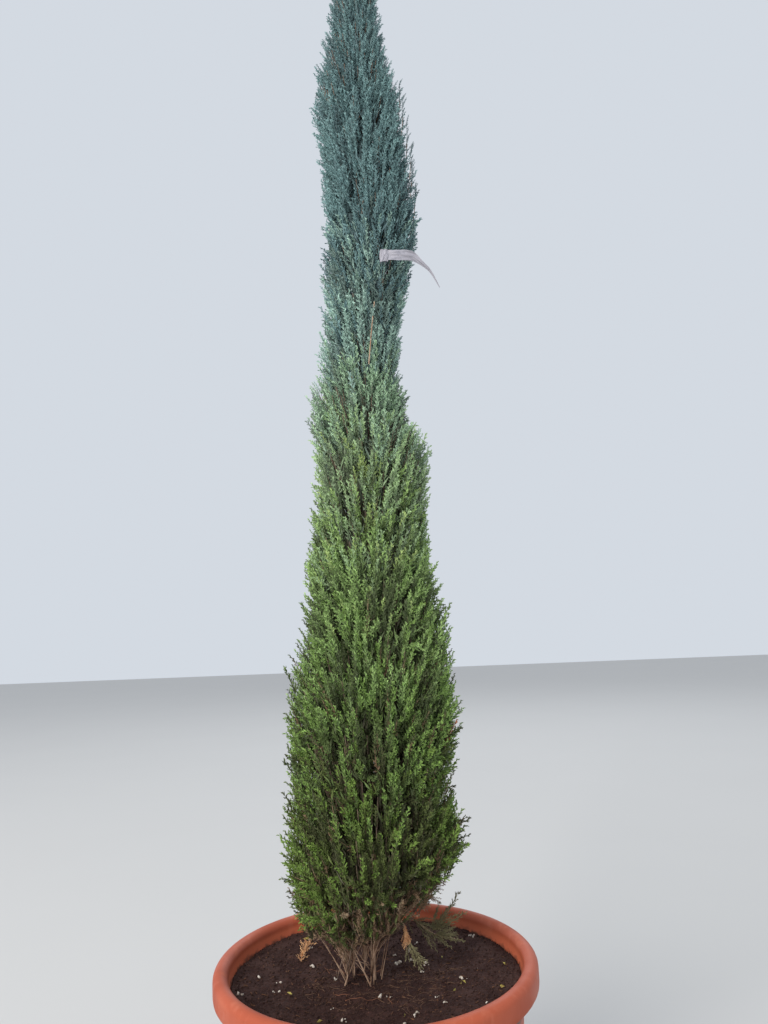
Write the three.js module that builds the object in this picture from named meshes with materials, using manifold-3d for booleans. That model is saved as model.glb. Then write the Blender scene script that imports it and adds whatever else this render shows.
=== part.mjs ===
// An upright, column-shaped cypress about two metres tall, in a wide plastic tub full of compost.
// Millimetres, +Z up. The origin is the centre of the tub's underside, and +X is to the right as
// the tree is seen from the front, along +Y.
import * as THREE from 'three';
import { mergeVertices } from 'three/addons/utils/BufferGeometryUtils.js';
import Module from 'manifold-3d';

const wasm = await Module();
wasm.setup();

const seed = 41;
const gap = 0.3; // between pieces that touch on the real plant
const snapGrids = [0.03, 0.05, 0.02, 0.04, 0.01, 0.07];

const tub = {
  height: 375,
  rimRadius: 250,
  rimDepth: 38, // the rolled rim, top to bottom
  mouthRadius: 227,
  rimUnder: 5, // how far the rolled rim's underside is set in, and its height
  rimSide: 7,
  rollSteps: 4,
  bandRadius: 226, // outside, under the rim
  bandTaper: 3,
  shoulderTop: 278,
  shoulderDrop: 16,
  shoulderStep: 11,
  footRadius: 172,
  wall: 4.5,
  floor: 6,
  recess: 8, // the floor stands this far clear of the ground
  footRing: 18,
  sides: 48,
  notches: 6,
  notchWidth: 26,
  drains: 4,
  drainRadius: 7,
  drainCircle: 95,
};

const compost = {
  top: 337,
  flatRadius: 78, // level round the stems
  edgeClear: 6,
  rings: 4,
  lump: 2.6,
  fade: 30,
  waves: { x: 0.071, y: 0.083, start: 1.3, shortX: 0.16, shortY: 0.13, share: 0.6 },
};

// The trunk's centre line: height, x, y
const trunkLine = [
  [compost.top, -2, -4],
  [700, 5, -6],
  [1100, 14, -4],
  [1350, 25, -6],
  [1620, 37, -4],
  [1850, 24, -6],
  [2326, 25, -4],
];
const trunk = {
  footRadius: 3,
  tipRadius: 1.1,
  taper: 0.85,
  flareRadius: 1.4,
  flareHeight: 34,
  footRings: [12, 34],
  step: 90,
  sides: 6,
};

// The crown's outline: height, then how far it reaches to the left and to the right of x = 0
const outline = [
  [392, 92, 60],
  [455, 124, 92],
  [510, 133, 128],
  [560, 143, 150],
  [610, 134, 137],
  [645, 127, 131],
  [750, 131, 151],
  [815, 124, 148],
  [905, 94, 138],
  [985, 99, 117],
  [1065, 79, 107],
  [1150, 75, 121],
  [1200, 72, 112],
  [1235, 84, 86],
  [1275, 83, 82],
  [1315, 59, 72],
  [1440, 54, 86],
  [1550, 49, 114],
  [1626, 43, 121],
  [1740, 53, 104],
  [1840, 62, 98],
  [1890, 48, 79],
  [1950, 32, 70],
  [2018, 22, 64],
  [2120, 8, 54],
  [2230, -8, 42],
  [2332, -22, 28],
];

// The lower edge of the foliage is higher on the right
const skirt = { left: 392, right: 452 };

// Foliage grows in tiers of upright plumes. A point's level is its height less what the tiers'
// borders rise on the way out to it from the trunk.
const borderRise = 1.3;
const tiers = [
  { from: 300, to: 505, count: 6, rows: 2, columns: 2, turn: 0.1 },
  { from: 505, to: 735, count: 5, rows: 3, columns: 2, turn: 0.5 },
  { from: 735, to: 960, count: 4, rows: 3, columns: 3, turn: 0.0 },
  { from: 960, to: 1180, count: 4, rows: 3, columns: 2, turn: 0.45 },
  { from: 1180, to: 1400, count: 3, rows: 3, columns: 3, turn: 0.85 },
  { from: 1400, to: 1620, count: 3, rows: 3, columns: 3, turn: 0.3 },
  { from: 1620, to: 1830, count: 3, rows: 3, columns: 3, turn: 0.7 },
  { from: 1830, to: 2050, count: 2, rows: 3, columns: 3, turn: 0.2 },
  { from: 2050, to: 2300, count: 2, rows: 4, columns: 2, turn: 0.72 },
];

// Each border between tiers waves up and down round the crown, by a share of the crown's reach
const wave = { share: 0.36, lobes: 2, turn: 2.4, look: 100 };
const lowestTilt = 34; // the lowest tier starts this much higher on the right than halfway round

// A mass's stem: its start at the trunk, then its bend and tip as shares up the cell and out
const stem = {
  low: 0.16,
  lowStep: 0.2, // round the sectors, so that no two start together
  sunk: 0.55, // its start, as a share of the trunk's radius
  bendLevel: 0.3,
  bendReach: 0.42,
  basalBend: 50,
  tipLevel: 0.82,
  tipReach: 0.5,
  radius: 3,
  trunkShare: 0.6,
  taper: 0.12,
  steps: 4,
  turn: 0.5,
};

// A plume is a twig off the stem with one spray at its tip and others beside it
const plume = {
  fill: 0.86, // of the cell's width
  stagger: 0.24,
  row: [0.62, 0.3], // the tip's place in its row, least and spread, and so on below
  reach: [0.93, 0.06],
  leave: [0.34, 0.44],
  angleSpread: 0.08,
  lean: 0.22,
  leanSpread: 0.16,
  turnSpread: 0.5,
  bend: 0.45,
  rootRadius: 2.2,
  tipRadius: 1.0,
  sizeBase: 0.45,
  sizeReach: 140, // a crown this wide would bear sprays this much longer than the base
};
const spray = {
  length: 82,
  width: 25,
  thickness: 6,
  shoulder: 0.4,
  late: 0.7, // a second place along it that has to fit
  sunk: 9,
  facingSpread: 1.2,
  sideRoot: [0.72, 0.2],
  sideTurn: [0.7, 0.6],
  sideLean: [0.3, 0.25],
  sideFacing: 0.6,
  sideScales: [0.95, 0.75, 0.55], // the first that fits is grown
};
// The dense inside of a mass: each ring's share up the cell at its middle and its sides, and reach
const core = {
  trunkClear: 6,
  innerTurn: 0.13, // its inner edge lies beside the stem
  innerReach: 0.1,
  side: 5,
  sideLeast: 1.2,
  sideRate: 0.07,
  skirtClear: 14,
  rings: [
    [0.03, 0.12, 0.62],
    [0.22, 0.26, 0.81],
    [0.55, 0.53, 0.85],
    [0.82, 0.74, 0.82],
    [0.98, 0.86, 0.6],
  ],
  across: [-1, -0.36, 0.36, 1],
};
const cellMargin = 1.6;

// Basal stems fan out of the compost and carry the lowest tier: foot x, y, and foot radius
const basalFeet = [
  [7, -9, 2.0],
  [6, 7, 2.0],
  [-21, 16, 2.3],
  [-35, 14, 2.4],
  [-47, -18, 2.3],
  [-9, -15, 2.1],
];
const basal = { sides: 6, tipRadius: 1.7, reach: 0.42, bow: 12, below: 2 };

// Two low branches hang out under the foliage: where each leaves the trunk, its route, and each
// spray's share of the way along, lean to the side and rise
const lowBranches = [
  {
    name: 'drooping_branch',
    colour: 'green',
    from: 428,
    route: [[36, 4, 434], [68, 8, 416], [94, 12, 397], [126, 15, 388]],
    sprays: [
      [0.3, -0.5, -0.2],
      [0.45, 0.6, -0.45],
      [0.6, -0.6, 0.25],
      [0.72, 0.5, 0.2],
      [0.85, -0.35, -0.5],
      [1.0, 0.3, 0.3],
      [1.0, -0.25, -0.15],
    ],
    length: 46,
  },
  {
    name: 'hanging_dead_sprig',
    colour: 'dead',
    from: 420,
    route: [[24, -24, 430], [41, -31, 433], [47, -32, 420], [48, -32, 388]],
    sprays: [
      [0.45, 0.5, -0.3],
      [0.6, -0.5, -0.2],
      [0.75, 0.45, 0.2],
      [0.85, -0.4, -0.35],
      [1.0, 0.35, -0.2],
      [1.0, -0.2, 0.1],
    ],
    length: 34,
  },
];

const lowSpray = { width: 13, thickness: 3, sunk: 2, length: [0.8, 0.3] };
const lowTwig = { radius: 2.1, taper: 0.14, steps: 7, seed: 963 };

// A bare plant label, looped round a shoot at the front
const label = {
  tier: 5,
  shoot: [52, -75, 1496], // where the loop holds it
  shootRadius: 1.5,
  shootStart: 0.45, // its start's share of the way from the trunk
  shootDrop: 50, // how far below the loop it starts
  shootRises: [-20, -6, 0, 26],
  shootSides: 6,
  loop: { radius: 2.35, from: 0.42, turn: 1.5, steps: 9, width: 6 },
  thickness: 1.0,
  clear: 15, // no spray comes nearer to its corners than this
  route: [
    [60, -80, 1494],
    [74, -81, 1491.5],
    [90, -78, 1491.5],
    [104, -74, 1490],
    [118, -71, 1480],
    [133, -66, 1467],
    [148, -60, 1440],
  ],
  widths: [10, 18, 20, 18, 12, 5, 2.4],
};

const colours = {
  terracotta: { color: 0xb95a3c, roughness: 0.6 },
  compost: { color: 0x2b201c, roughness: 0.95 },
  bark: { color: 0x6b5648, roughness: 0.9 },
  green: { color: 0x46702f, roughness: 0.85 },
  dead: { color: 0xb0703c, roughness: 0.9 },
  label: { color: 0xe9e9e4, roughness: 0.5 },
};

const part = new THREE.Group();
const vector = (x, y, z) => new THREE.Vector3(x, y, z);
const up = vector(0, 0, 1);

// A repeatable stream of numbers from 0 to 1
function stream(start) {
  let state = start >>> 0;
  return () => {
    state = (state + 0x6d2b79f5) >>> 0;
    let mixed = Math.imul(state ^ (state >>> 15), state | 1);
    mixed = (mixed + Math.imul(mixed ^ (mixed >>> 7), mixed | 61)) ^ mixed;
    return ((mixed ^ (mixed >>> 14)) >>> 0) / 4294967296;
  };
}

// The other columns of a list of rows, at a height between two of its rows
function between(rows, height, ease) {
  const last = rows.length - 1;
  const clamped = Math.min(Math.max(height, rows[0][0]), rows[last][0]);
  let i = 0;
  while (i < last - 1 && rows[i + 1][0] < clamped) {
    i += 1;
  }
  const share = (clamped - rows[i][0]) / (rows[i + 1][0] - rows[i][0]);
  const eased = ease ? share * share * (3 - 2 * share) : share;
  return rows[i].slice(1).map((value, k) => value + (rows[i + 1][k + 1] - value) * eased);
}

function trunkAt(height) {
  const [x, y] = between(trunkLine, height, true);
  return vector(x, y, height);
}

function trunkRadius(height) {
  const top = trunkLine.at(-1)[0];
  const share = Math.min(Math.max((height - compost.top) / (top - compost.top), 0), 1);
  const flare = trunk.flareRadius * Math.exp(-(height - compost.top) / trunk.flareHeight);
  return trunk.footRadius + (trunk.tipRadius - trunk.footRadius) * share ** trunk.taper + flare;
}

// How far the crown reaches from the trunk at a height, towards an angle
function crownRadius(angle, height) {
  const [left, right] = between(outline, height, false);
  const x = trunkAt(height).x;
  const half = (left + right) / 2;
  const shift = (right - left) / 2 - x;
  return half + shift * Math.cos(angle);
}

// The point at a level, towards an angle, at a share of the crown's reach there
function crownPoint(angle, level, share) {
  const firstGuess = 60;
  const rounds = 12;
  let radius = firstGuess;
  for (let i = 0; i < rounds; i += 1) {
    radius = (radius + share * crownRadius(angle, level + borderRise * radius)) / 2;
  }
  const centre = trunkAt(level + borderRise * radius);
  return centre.add(vector(radius * Math.cos(angle), radius * Math.sin(angle), 0));
}

// A point's angle, distance from the trunk, level, and share of the crown's reach
function crownPlace(point) {
  const centre = trunkAt(point.z);
  const x = point.x - centre.x;
  const y = point.y - centre.y;
  const radius = Math.hypot(x, y);
  const angle = Math.atan2(y, x);
  const share = radius / crownRadius(angle, point.z);
  return { angle, radius, level: point.z - borderRise * radius, share };
}

// A closed solid over rings of equally many points, the first ring at the lower end
function loft(rings) {
  const count = rings[0].length;
  const positions = rings.flat().flatMap((p) => [p.x, p.y, p.z]);
  const index = [];
  for (let i = 0; i < rings.length - 1; i += 1) {
    for (let k = 0; k < count; k += 1) {
      const a = i * count + k;
      const b = i * count + ((k + 1) % count);
      index.push(a, b, b + count, a, b + count, a + count);
    }
  }
  const top = (rings.length - 1) * count;
  for (let k = 1; k < count - 1; k += 1) {
    index.push(0, k + 1, k, top, top + k, top + k + 1);
  }
  const geometry = new THREE.BufferGeometry();
  geometry.setAttribute('position', new THREE.Float32BufferAttribute(positions, 3));
  geometry.setIndex(index);
  return geometry;
}

// Two directions square to a third
function sideways(direction) {
  const helper = Math.abs(direction.z) > 0.9 ? vector(1, 0, 0) : up;
  const u = helper.clone().cross(direction).normalize();
  return [u, direction.clone().cross(u)];
}

// A tapering limb through points, with a radius at each. Each ring follows the one before it
function limb(points, radii, sides, turn = 0) {
  let u = null;
  const rings = points.map((point, i) => {
    const before = points[Math.max(i - 1, 0)];
    const after = points[Math.min(i + 1, points.length - 1)];
    const along = after.clone().sub(before).normalize();
    u = u ? u.addScaledVector(along, -u.dot(along)).normalize() : sideways(along)[0];
    const v = along.clone().cross(u);
    return Array.from({ length: sides }, (_, k) => {
      const angle = turn + (k * 2 * Math.PI) / sides;
      return point
        .clone()
        .addScaledVector(u, radii[i] * Math.cos(angle))
        .addScaledVector(v, radii[i] * Math.sin(angle));
    });
  });
  return loft(rings);
}

// A geometry with its shared corners merged, and only their positions
function merge(geometry) {
  const bare = geometry.clone();
  bare.deleteAttribute('normal');
  bare.deleteAttribute('uv');
  return mergeVertices(bare, 1e-4);
}

function toManifold(geometry) {
  const merged = merge(geometry);
  return new wasm.Manifold(
    new wasm.Mesh({
      numProp: 3,
      vertProperties: new Float32Array(merged.attributes.position.array),
      triVerts: new Uint32Array(merged.index.array),
    }),
  );
}

// The largest body of a solid: loose scraps and sealed hollows are left out
function mainBody(solid) {
  return solid.decompose().reduce((best, next) => (next.volume() > best.volume() ? next : best));
}

function toGeometry(solid) {
  const mesh = solid.getMesh();
  const geometry = new THREE.BufferGeometry();
  geometry.setAttribute('position', new THREE.BufferAttribute(new Float32Array(mesh.vertProperties), 3));
  geometry.setIndex(new THREE.BufferAttribute(new Uint32Array(mesh.triVerts), 1));
  return geometry;
}

// A solid with its corners moved to a fine grid, which rids its joins of slivers
function snapped(solid) {
  const mesh = solid.getMesh();
  for (const grid of snapGrids) {
    const geometry = new THREE.BufferGeometry();
    const positions = mesh.vertProperties.map((value) => Math.round(value / grid) * grid);
    geometry.setAttribute('position', new THREE.BufferAttribute(positions, 3));
    geometry.setIndex(new THREE.BufferAttribute(mesh.triVerts, 1));
    const merged = mergeVertices(geometry, grid / 4);
    const whole = [];
    for (let i = 0; i < merged.index.count; i += 3) {
      const corners = [0, 1, 2].map((k) => merged.index.getX(i + k));
      if (new Set(corners).size === 3) {
        whole.push(...corners);
      }
    }
    merged.setIndex(whole);
    try {
      const result = toManifold(merged);
      const joined = mergeVertices(toGeometry(result), grid / 4);
      if (closedOnce(joined.index.array) && result.decompose().length === 1) {
        return result;
      }
    } catch {
      // This grid folds the surface on itself, and another may not
    }
  }
  return solid;
}

// Whether each edge has a triangle on either side and no more
function closedOnce(index) {
  const uses = new Map();
  for (let i = 0; i < index.length; i += 1) {
    const a = index[i];
    const b = index[i % 3 === 2 ? i - 2 : i + 1];
    const edge = `${Math.min(a, b)} ${Math.max(a, b)}`;
    uses.set(edge, (uses.get(edge) ?? 0) + 1);
  }
  return [...uses.values()].every((count) => count === 2);
}

function fuse(geometries) {
  return geometries.map(toManifold).reduce((whole, next) => whole.add(next));
}

function addMesh(name, geometry, colour) {
  const material = new THREE.MeshStandardMaterial({ ...colours[colour], side: THREE.DoubleSide });
  const mesh = new THREE.Mesh(geometry, material);
  mesh.name = name;
  part.add(mesh);
}

function latheUp(points) {
  return new THREE.LatheGeometry(points, tub.sides).rotateX(Math.PI / 2);
}

// The tub's outer radius below the rim
function wallRadius(height) {
  const shoulderFoot = tub.shoulderTop - tub.shoulderDrop;
  const rimFoot = tub.height - tub.rimDepth;
  return between(
    [
      [0, tub.footRadius],
      [shoulderFoot, tub.bandRadius - tub.bandTaper - tub.shoulderStep],
      [tub.shoulderTop, tub.bandRadius - tub.bandTaper],
      [rimFoot, tub.bandRadius],
    ],
    height,
    false,
  )[0];
}

function innerWall(clear) {
  const floorTop = tub.recess + tub.floor;
  const heights = [floorTop, tub.shoulderTop - tub.shoulderDrop, tub.shoulderTop];
  return heights.map((height) => new THREE.Vector2(wallRadius(height) - tub.wall - clear, height));
}

function makeTub() {
  const rimFoot = tub.height - tub.rimDepth;
  const roll = (tub.rimRadius - tub.mouthRadius) / 2;
  const rimCentre = tub.mouthRadius + roll;
  const profile = [
    [0, tub.recess],
    [tub.footRadius - tub.footRing, tub.recess],
    [tub.footRadius - tub.footRing, 0],
    [tub.footRadius, 0],
    [wallRadius(tub.shoulderTop - tub.shoulderDrop), tub.shoulderTop - tub.shoulderDrop],
    [wallRadius(tub.shoulderTop), tub.shoulderTop],
    [wallRadius(rimFoot), rimFoot + tub.bandTaper],
    [tub.rimRadius - tub.rimUnder, rimFoot],
    [tub.rimRadius, rimFoot + tub.rimSide],
  ].map(([radius, height]) => new THREE.Vector2(radius, height));
  for (let i = 0; i <= tub.rollSteps; i += 1) {
    const angle = (i * Math.PI) / tub.rollSteps;
    const height = tub.height - roll + roll * Math.sin(angle);
    profile.push(new THREE.Vector2(rimCentre + roll * Math.cos(angle), height));
  }
  profile.push(...innerWall(0).reverse(), new THREE.Vector2(0, tub.recess + tub.floor));
  let body = toManifold(latheUp(profile));
  for (let i = 0; i < tub.notches; i += 1) {
    const angle = ((i + 0.5) * 2 * Math.PI) / tub.notches;
    const notch = new THREE.BoxGeometry(3 * tub.footRing, tub.notchWidth, 2 * tub.recess);
    notch.translate(tub.footRadius - tub.footRing / 2, 0, 0).rotateZ(angle);
    body = body.subtract(toManifold(notch));
  }
  for (let i = 0; i < tub.drains; i += 1) {
    const angle = ((i + 0.5) * 2 * Math.PI) / tub.drains;
    const drain = new THREE.CylinderGeometry(tub.drainRadius, tub.drainRadius, 4 * tub.floor, 8);
    drain.rotateX(Math.PI / 2);
    drain.translate(tub.drainCircle, 0, tub.recess + tub.floor / 2).rotateZ(angle);
    body = body.subtract(toManifold(drain));
  }
  addMesh('tub', toGeometry(mainBody(body)), 'terracotta');
}

// Low lumps in the compost, level round the stems and at the tub's wall
function lumps(x, y) {
  const radius = Math.hypot(x, y);
  const edge = tub.mouthRadius - radius;
  const inner = Math.min(Math.max((radius - compost.flatRadius) / compost.fade, 0), 1);
  const fade = inner * Math.min(edge / compost.fade, 1);
  const { waves } = compost;
  const long = Math.sin(x * waves.x + waves.start) * Math.cos(y * waves.y);
  const short = Math.sin(x * waves.shortX + y * waves.shortY);
  return compost.lump * fade * (long + short * waves.share);
}

function makeCompost() {
  const profile = [new THREE.Vector2(0, tub.recess + tub.floor + gap)];
  const wall = innerWall(gap / Math.cos(Math.PI / tub.sides));
  wall[0].y += gap;
  profile.push(...wall);
  const edge = tub.mouthRadius - compost.edgeClear;
  for (let i = 0; i < compost.rings; i += 1) {
    const radius = edge + ((compost.flatRadius - edge) * i) / (compost.rings - 1);
    profile.push(new THREE.Vector2(radius, compost.top));
  }
  profile.push(new THREE.Vector2(0, compost.top));
  const merged = merge(latheUp(profile));
  const position = merged.attributes.position;
  for (let i = 0; i < position.count; i += 1) {
    if (position.getZ(i) > compost.top - 1) {
      position.setZ(i, compost.top + lumps(position.getX(i), position.getY(i)));
    }
  }
  addMesh('compost', toGeometry(mainBody(toManifold(merged))), 'compost');
}

// The trunk's rings, thicker by an allowance, from its flat foot up to its tip
function trunkLimb(allowance) {
  const foot = compost.top + gap;
  const top = trunkLine.at(-1)[0];
  const heights = [foot - allowance, ...trunk.footRings.map((rise) => foot + rise)];
  for (let height = heights.at(-1) + trunk.step; height < top - trunk.step / 2; height += trunk.step) {
    heights.push(height);
  }
  heights.push(top + allowance);
  const rings = heights.map((height) => {
    const centre = trunkAt(height);
    const radius = trunkRadius(height) + allowance / Math.cos(Math.PI / trunk.sides);
    return Array.from({ length: trunk.sides }, (_, k) => {
      const angle = (k * 2 * Math.PI) / trunk.sides;
      return centre.clone().add(vector(radius * Math.cos(angle), radius * Math.sin(angle), 0));
    });
  });
  return loft(rings);
}

// The level of the border under a tier, towards an angle. The top of the crown has no wave
function borderLevel(index, angle) {
  if (index === 0) {
    return tiers[0].from + lowestTilt * Math.cos(angle);
  }
  if (index === tiers.length) {
    return tiers.at(-1).to;
  }
  const level = tiers[index].from;
  const [left, right] = between(outline, level + wave.look, false);
  const height = (wave.share * (left + right)) / 2;
  return level + height * Math.cos(wave.lobes * angle + wave.turn * index);
}

// The level at a share of the way up a cell, towards an angle
function levelIn(cell, angle, share) {
  const low = borderLevel(cell.index, angle);
  return low + (borderLevel(cell.index + 1, angle) - low) * share;
}

// The sector's middle angle in a tier
function sectorAngle(tier, sector) {
  return -Math.PI / 2 + ((sector + tier.turn) * 2 * Math.PI) / tier.count;
}

function skirtHeight(angle) {
  return (skirt.left + skirt.right) / 2 + ((skirt.right - skirt.left) / 2) * Math.cos(angle);
}

function inCell(point, cell, margin) {
  const place = crownPlace(point);
  const turned = Math.atan2(Math.sin(place.angle - cell.angle), Math.cos(place.angle - cell.angle));
  const toSide = place.radius * Math.sin(Math.max(cell.spread - Math.abs(turned), -1));
  const border = margin * Math.hypot(1, borderRise);
  return (
    Math.abs(turned) < cell.spread &&
    toSide > margin &&
    place.level > borderLevel(cell.index, place.angle) + border &&
    place.level < borderLevel(cell.index + 1, place.angle) - border &&
    place.share < 1 &&
    point.z > skirtHeight(place.angle) &&
    place.radius > trunkRadius(point.z) + gap + margin
  );
}

// A spray is an eight-faced blade from its root to its tip
function sprayBlade(root, tip, width, thickness, turn) {
  const length = root.distanceTo(tip);
  const blade = merge(new THREE.OctahedronGeometry(1));
  const position = blade.attributes.position;
  for (let i = 0; i < position.count; i += 1) {
    const y = position.getY(i);
    const along = Math.abs(y) < 0.5 ? spray.shoulder : (y + 1) / 2;
    const across = (position.getX(i) * width) / 2;
    position.setXYZ(i, across, along * length, (position.getZ(i) * thickness) / 2);
  }
  blade.rotateY(turn);
  const aim = new THREE.Quaternion().setFromUnitVectors(vector(0, 1, 0), tip.clone().sub(root).normalize());
  return blade.applyQuaternion(aim).translate(root.x, root.y, root.z);
}

function bladeFits(root, tip, width, fits) {
  const along = tip.clone().sub(root);
  const [u, v] = sideways(along.clone().normalize());
  const middle = root.clone().addScaledVector(along, spray.shoulder);
  const corners = [root, tip, root.clone().lerp(tip, spray.late)];
  for (const side of [u, v]) {
    corners.push(middle.clone().addScaledVector(side, width / 2));
    corners.push(middle.clone().addScaledVector(side, -width / 2));
  }
  return corners.every(fits);
}

function bezier(a, b, c, share) {
  return a.clone().lerp(b, share).lerp(b.clone().lerp(c, share), share);
}

function directionOut(angle, lean) {
  return vector(Math.cos(angle) * Math.sin(lean), Math.sin(angle) * Math.sin(lean), Math.cos(lean));
}

// A number from a range given as its least and its spread
function within([least, spread], random) {
  return least + spread * random();
}

// The plumes of one mass: where each leaves the stem, and its tip on the crown's surface
function plumesOf(cell, random) {
  const { rows, columns } = cell.tier;
  const plumes = [];
  for (let row = 0; row < rows; row += 1) {
    for (let column = 0; column < columns; column += 1) {
      const across = (column + 0.5 + plume.stagger * (row % 2 ? 1 : -1)) / columns;
      const turned = (2 * across - 1) * cell.spread * plume.fill;
      const angle = cell.angle + turned + (random() - 0.5) * plume.angleSpread;
      const level = levelIn(cell, angle, (row + within(plume.row, random)) / rows);
      const reach = within(plume.reach, random);
      const side = (row + column) % 2 ? 1 : -1;
      const [least, spread] = plume.leave;
      plumes.push({ angle, level, reach, side, leave: least + (spread * (row + random())) / rows });
    }
  }
  return plumes;
}

function massCore(cell) {
  const rings = core.rings.map(([middle, sides, reach]) => {
    const outer = core.across.map((across) => {
      const angle = cell.angle + across * cell.spread;
      return crownPoint(angle, levelIn(cell, angle, middle + (sides - middle) * across * across), reach);
    });
    const innerAngle = cell.angle + core.innerTurn * cell.spread;
    const innerLevel = levelIn(cell, innerAngle, (middle + sides) / 2);
    const inner = crownPoint(innerAngle, innerLevel, core.innerReach);
    return [inner, ...outer].map((point) => keepInside(point, cell));
  });
  return loft(rings);
}

// Moves a point of a core clear of the cell's two side borders, the trunk and the skirt
function keepInside(point, cell) {
  const place = crownPlace(point);
  const radius = Math.max(place.radius, trunkRadius(point.z) + core.trunkClear);
  const turned = Math.atan2(Math.sin(place.angle - cell.angle), Math.cos(place.angle - cell.angle));
  const side = Math.min(core.side, core.sideLeast + core.sideRate * radius);
  const limit = Math.max(cell.spread - Math.asin(Math.min(side / radius, 1)), 0);
  const angle = cell.angle + Math.min(Math.max(turned, -limit), limit);
  const height = Math.max(place.level + borderRise * radius, skirtHeight(angle) + core.skirtClear);
  const centre = trunkAt(height);
  return centre.add(vector(radius * Math.cos(angle), radius * Math.sin(angle), 0));
}

// Where a mass's stem leaves the trunk, each sector at its own height
function trunkSide(cell) {
  const share = stem.low + (stem.lowStep * cell.sector) / cell.tier.count;
  const centre = trunkAt(levelIn(cell, cell.angle, share));
  return centre.addScaledVector(directionOut(cell.angle, Math.PI / 2), stem.sunk * trunkRadius(centre.z));
}

// A mass's stem: a curve from the trunk, or on from a basal stem's tip, up through the mass
function stemOf(cell, basalTip) {
  const tip = crownPoint(cell.angle, levelIn(cell, cell.angle, stem.tipLevel), stem.tipReach);
  if (basalTip) {
    const bend = basalTip.point.clone().addScaledVector(basalTip.direction, stem.basalBend);
    return { start: basalTip.point, bend, tip, radius: basal.tipRadius };
  }
  const start = trunkSide(cell);
  const bend = crownPoint(cell.angle, levelIn(cell, cell.angle, stem.bendLevel), stem.bendReach);
  return { start, bend, tip, radius: Math.min(stem.radius, stem.trunkShare * trunkRadius(start.z)) };
}

function stemLimb(line) {
  const shares = Array.from({ length: stem.steps + 1 }, (_, i) => i / stem.steps);
  const points = shares.map((share) => bezier(line.start, line.bend, line.tip, share));
  const radii = points.map((_, i) => line.radius * (1 - stem.taper * i));
  return limb(points, radii, 3, stem.turn);
}

function nearLabel(point) {
  return [label.shoot, ...label.route].some((place) => vector(...place).distanceTo(point) < label.clear);
}

// One plume's twig and sprays. Nothing grows where the plume would leave its cell
function growPlume(cell, line, item, random) {
  const fits = (point) => inCell(point, cell, cellMargin) && !nearLabel(point);
  const tip = crownPoint(item.angle, item.level, item.reach);
  const size = Math.min(1, plume.sizeBase + crownRadius(item.angle, tip.z) / plume.sizeReach);
  const lean = plume.lean + plume.leanSpread * (random() - 0.5);
  const main = directionOut(item.angle + plume.turnSpread * (random() - 0.5), lean);
  const root = tip.clone().addScaledVector(main, -spray.length * size);
  const leave = bezier(line.start, line.bend, line.tip, item.leave);
  const bend = root.clone().addScaledVector(main, -plume.bend * root.distanceTo(leave));
  const twig = [leave, bezier(leave, bend, root, 0.5), root.clone().addScaledVector(main, spray.sunk)];
  if (!twig.slice(1).every((point) => inCell(point, cell, cellMargin + plume.rootRadius))) {
    return [];
  }
  const radii = [plume.rootRadius, (plume.rootRadius + plume.tipRadius) / 2, plume.tipRadius];
  const solids = [limb(twig, radii, 3, random() * 2)];
  const facing = item.angle + Math.PI / 2 + (random() - 0.5) * spray.facingSpread;
  if (bladeFits(root, tip, spray.width * size, fits)) {
    solids.push(sprayBlade(root, tip, spray.width * size, spray.thickness, facing));
  }
  for (const side of cell.tier.columns > 2 ? [item.side] : [-1, 1]) {
    const sideRoot = bezier(leave, bend, root, within(spray.sideRoot, random));
    const turned = item.angle + side * within(spray.sideTurn, random);
    const away = directionOut(turned, lean + within(spray.sideLean, random));
    const ends = spray.sideScales.map((scale) => ({ scale: scale * size, end: sideRoot.clone() }));
    ends.forEach(({ scale, end }) => end.addScaledVector(away, spray.length * scale));
    const found = ends.find(({ scale, end }) => bladeFits(sideRoot, end, spray.width * scale, fits));
    if (found) {
      const turn = facing + side * spray.sideFacing;
      solids.push(sprayBlade(sideRoot, found.end, spray.width * found.scale, spray.thickness, turn));
    }
  }
  return solids;
}

function makeMass(name, cell, random, basalTip) {
  const line = stemOf(cell, basalTip);
  const solids = [massCore(cell), stemLimb(line)];
  for (const item of plumesOf(cell, random)) {
    solids.push(...growPlume(cell, line, item, random));
  }
  if (cell.holdsLabel) {
    solids.push(labelShoot());
  }
  const clearTrunk = toManifold(trunkLimb(gap));
  addMesh(name, toGeometry(snapped(mainBody(fuse(solids).subtract(clearTrunk)))), 'green');
}

// The shoot that the label's loop holds, up from inside the crown
function labelShoot() {
  const hold = vector(...label.shoot);
  const inside = trunkAt(hold.z).lerp(hold, label.shootStart);
  inside.z -= label.shootDrop;
  const points = [inside, ...label.shootRises.map((rise) => hold.clone().setZ(hold.z + rise))];
  const radii = points.map((_, i) => label.shootRadius * (i < points.length - 1 ? 1 : 0.5));
  return limb(points, radii, label.shootSides);
}

function makeCrown() {
  tiers.forEach((tier, t) => {
    for (let sector = 0; sector < tier.count; sector += 1) {
      const random = stream(seed + 101 * t + 7 * sector);
      const angle = sectorAngle(tier, sector);
      const holdsLabel = t === label.tier && sector === labelSector(tier);
      const cell = { tier, index: t, sector, angle, spread: Math.PI / tier.count, holdsLabel };
      makeMass(`foliage_${t + 1}_${sector + 1}`, cell, random, t === 0 ? basalEnd(sector) : null);
    }
  });
}

function labelSector(tier) {
  const hold = crownPlace(vector(...label.shoot));
  const turns = ((hold.angle + Math.PI / 2) / (2 * Math.PI)) * tier.count - tier.turn;
  return ((Math.round(turns) % tier.count) + tier.count) % tier.count;
}

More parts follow.
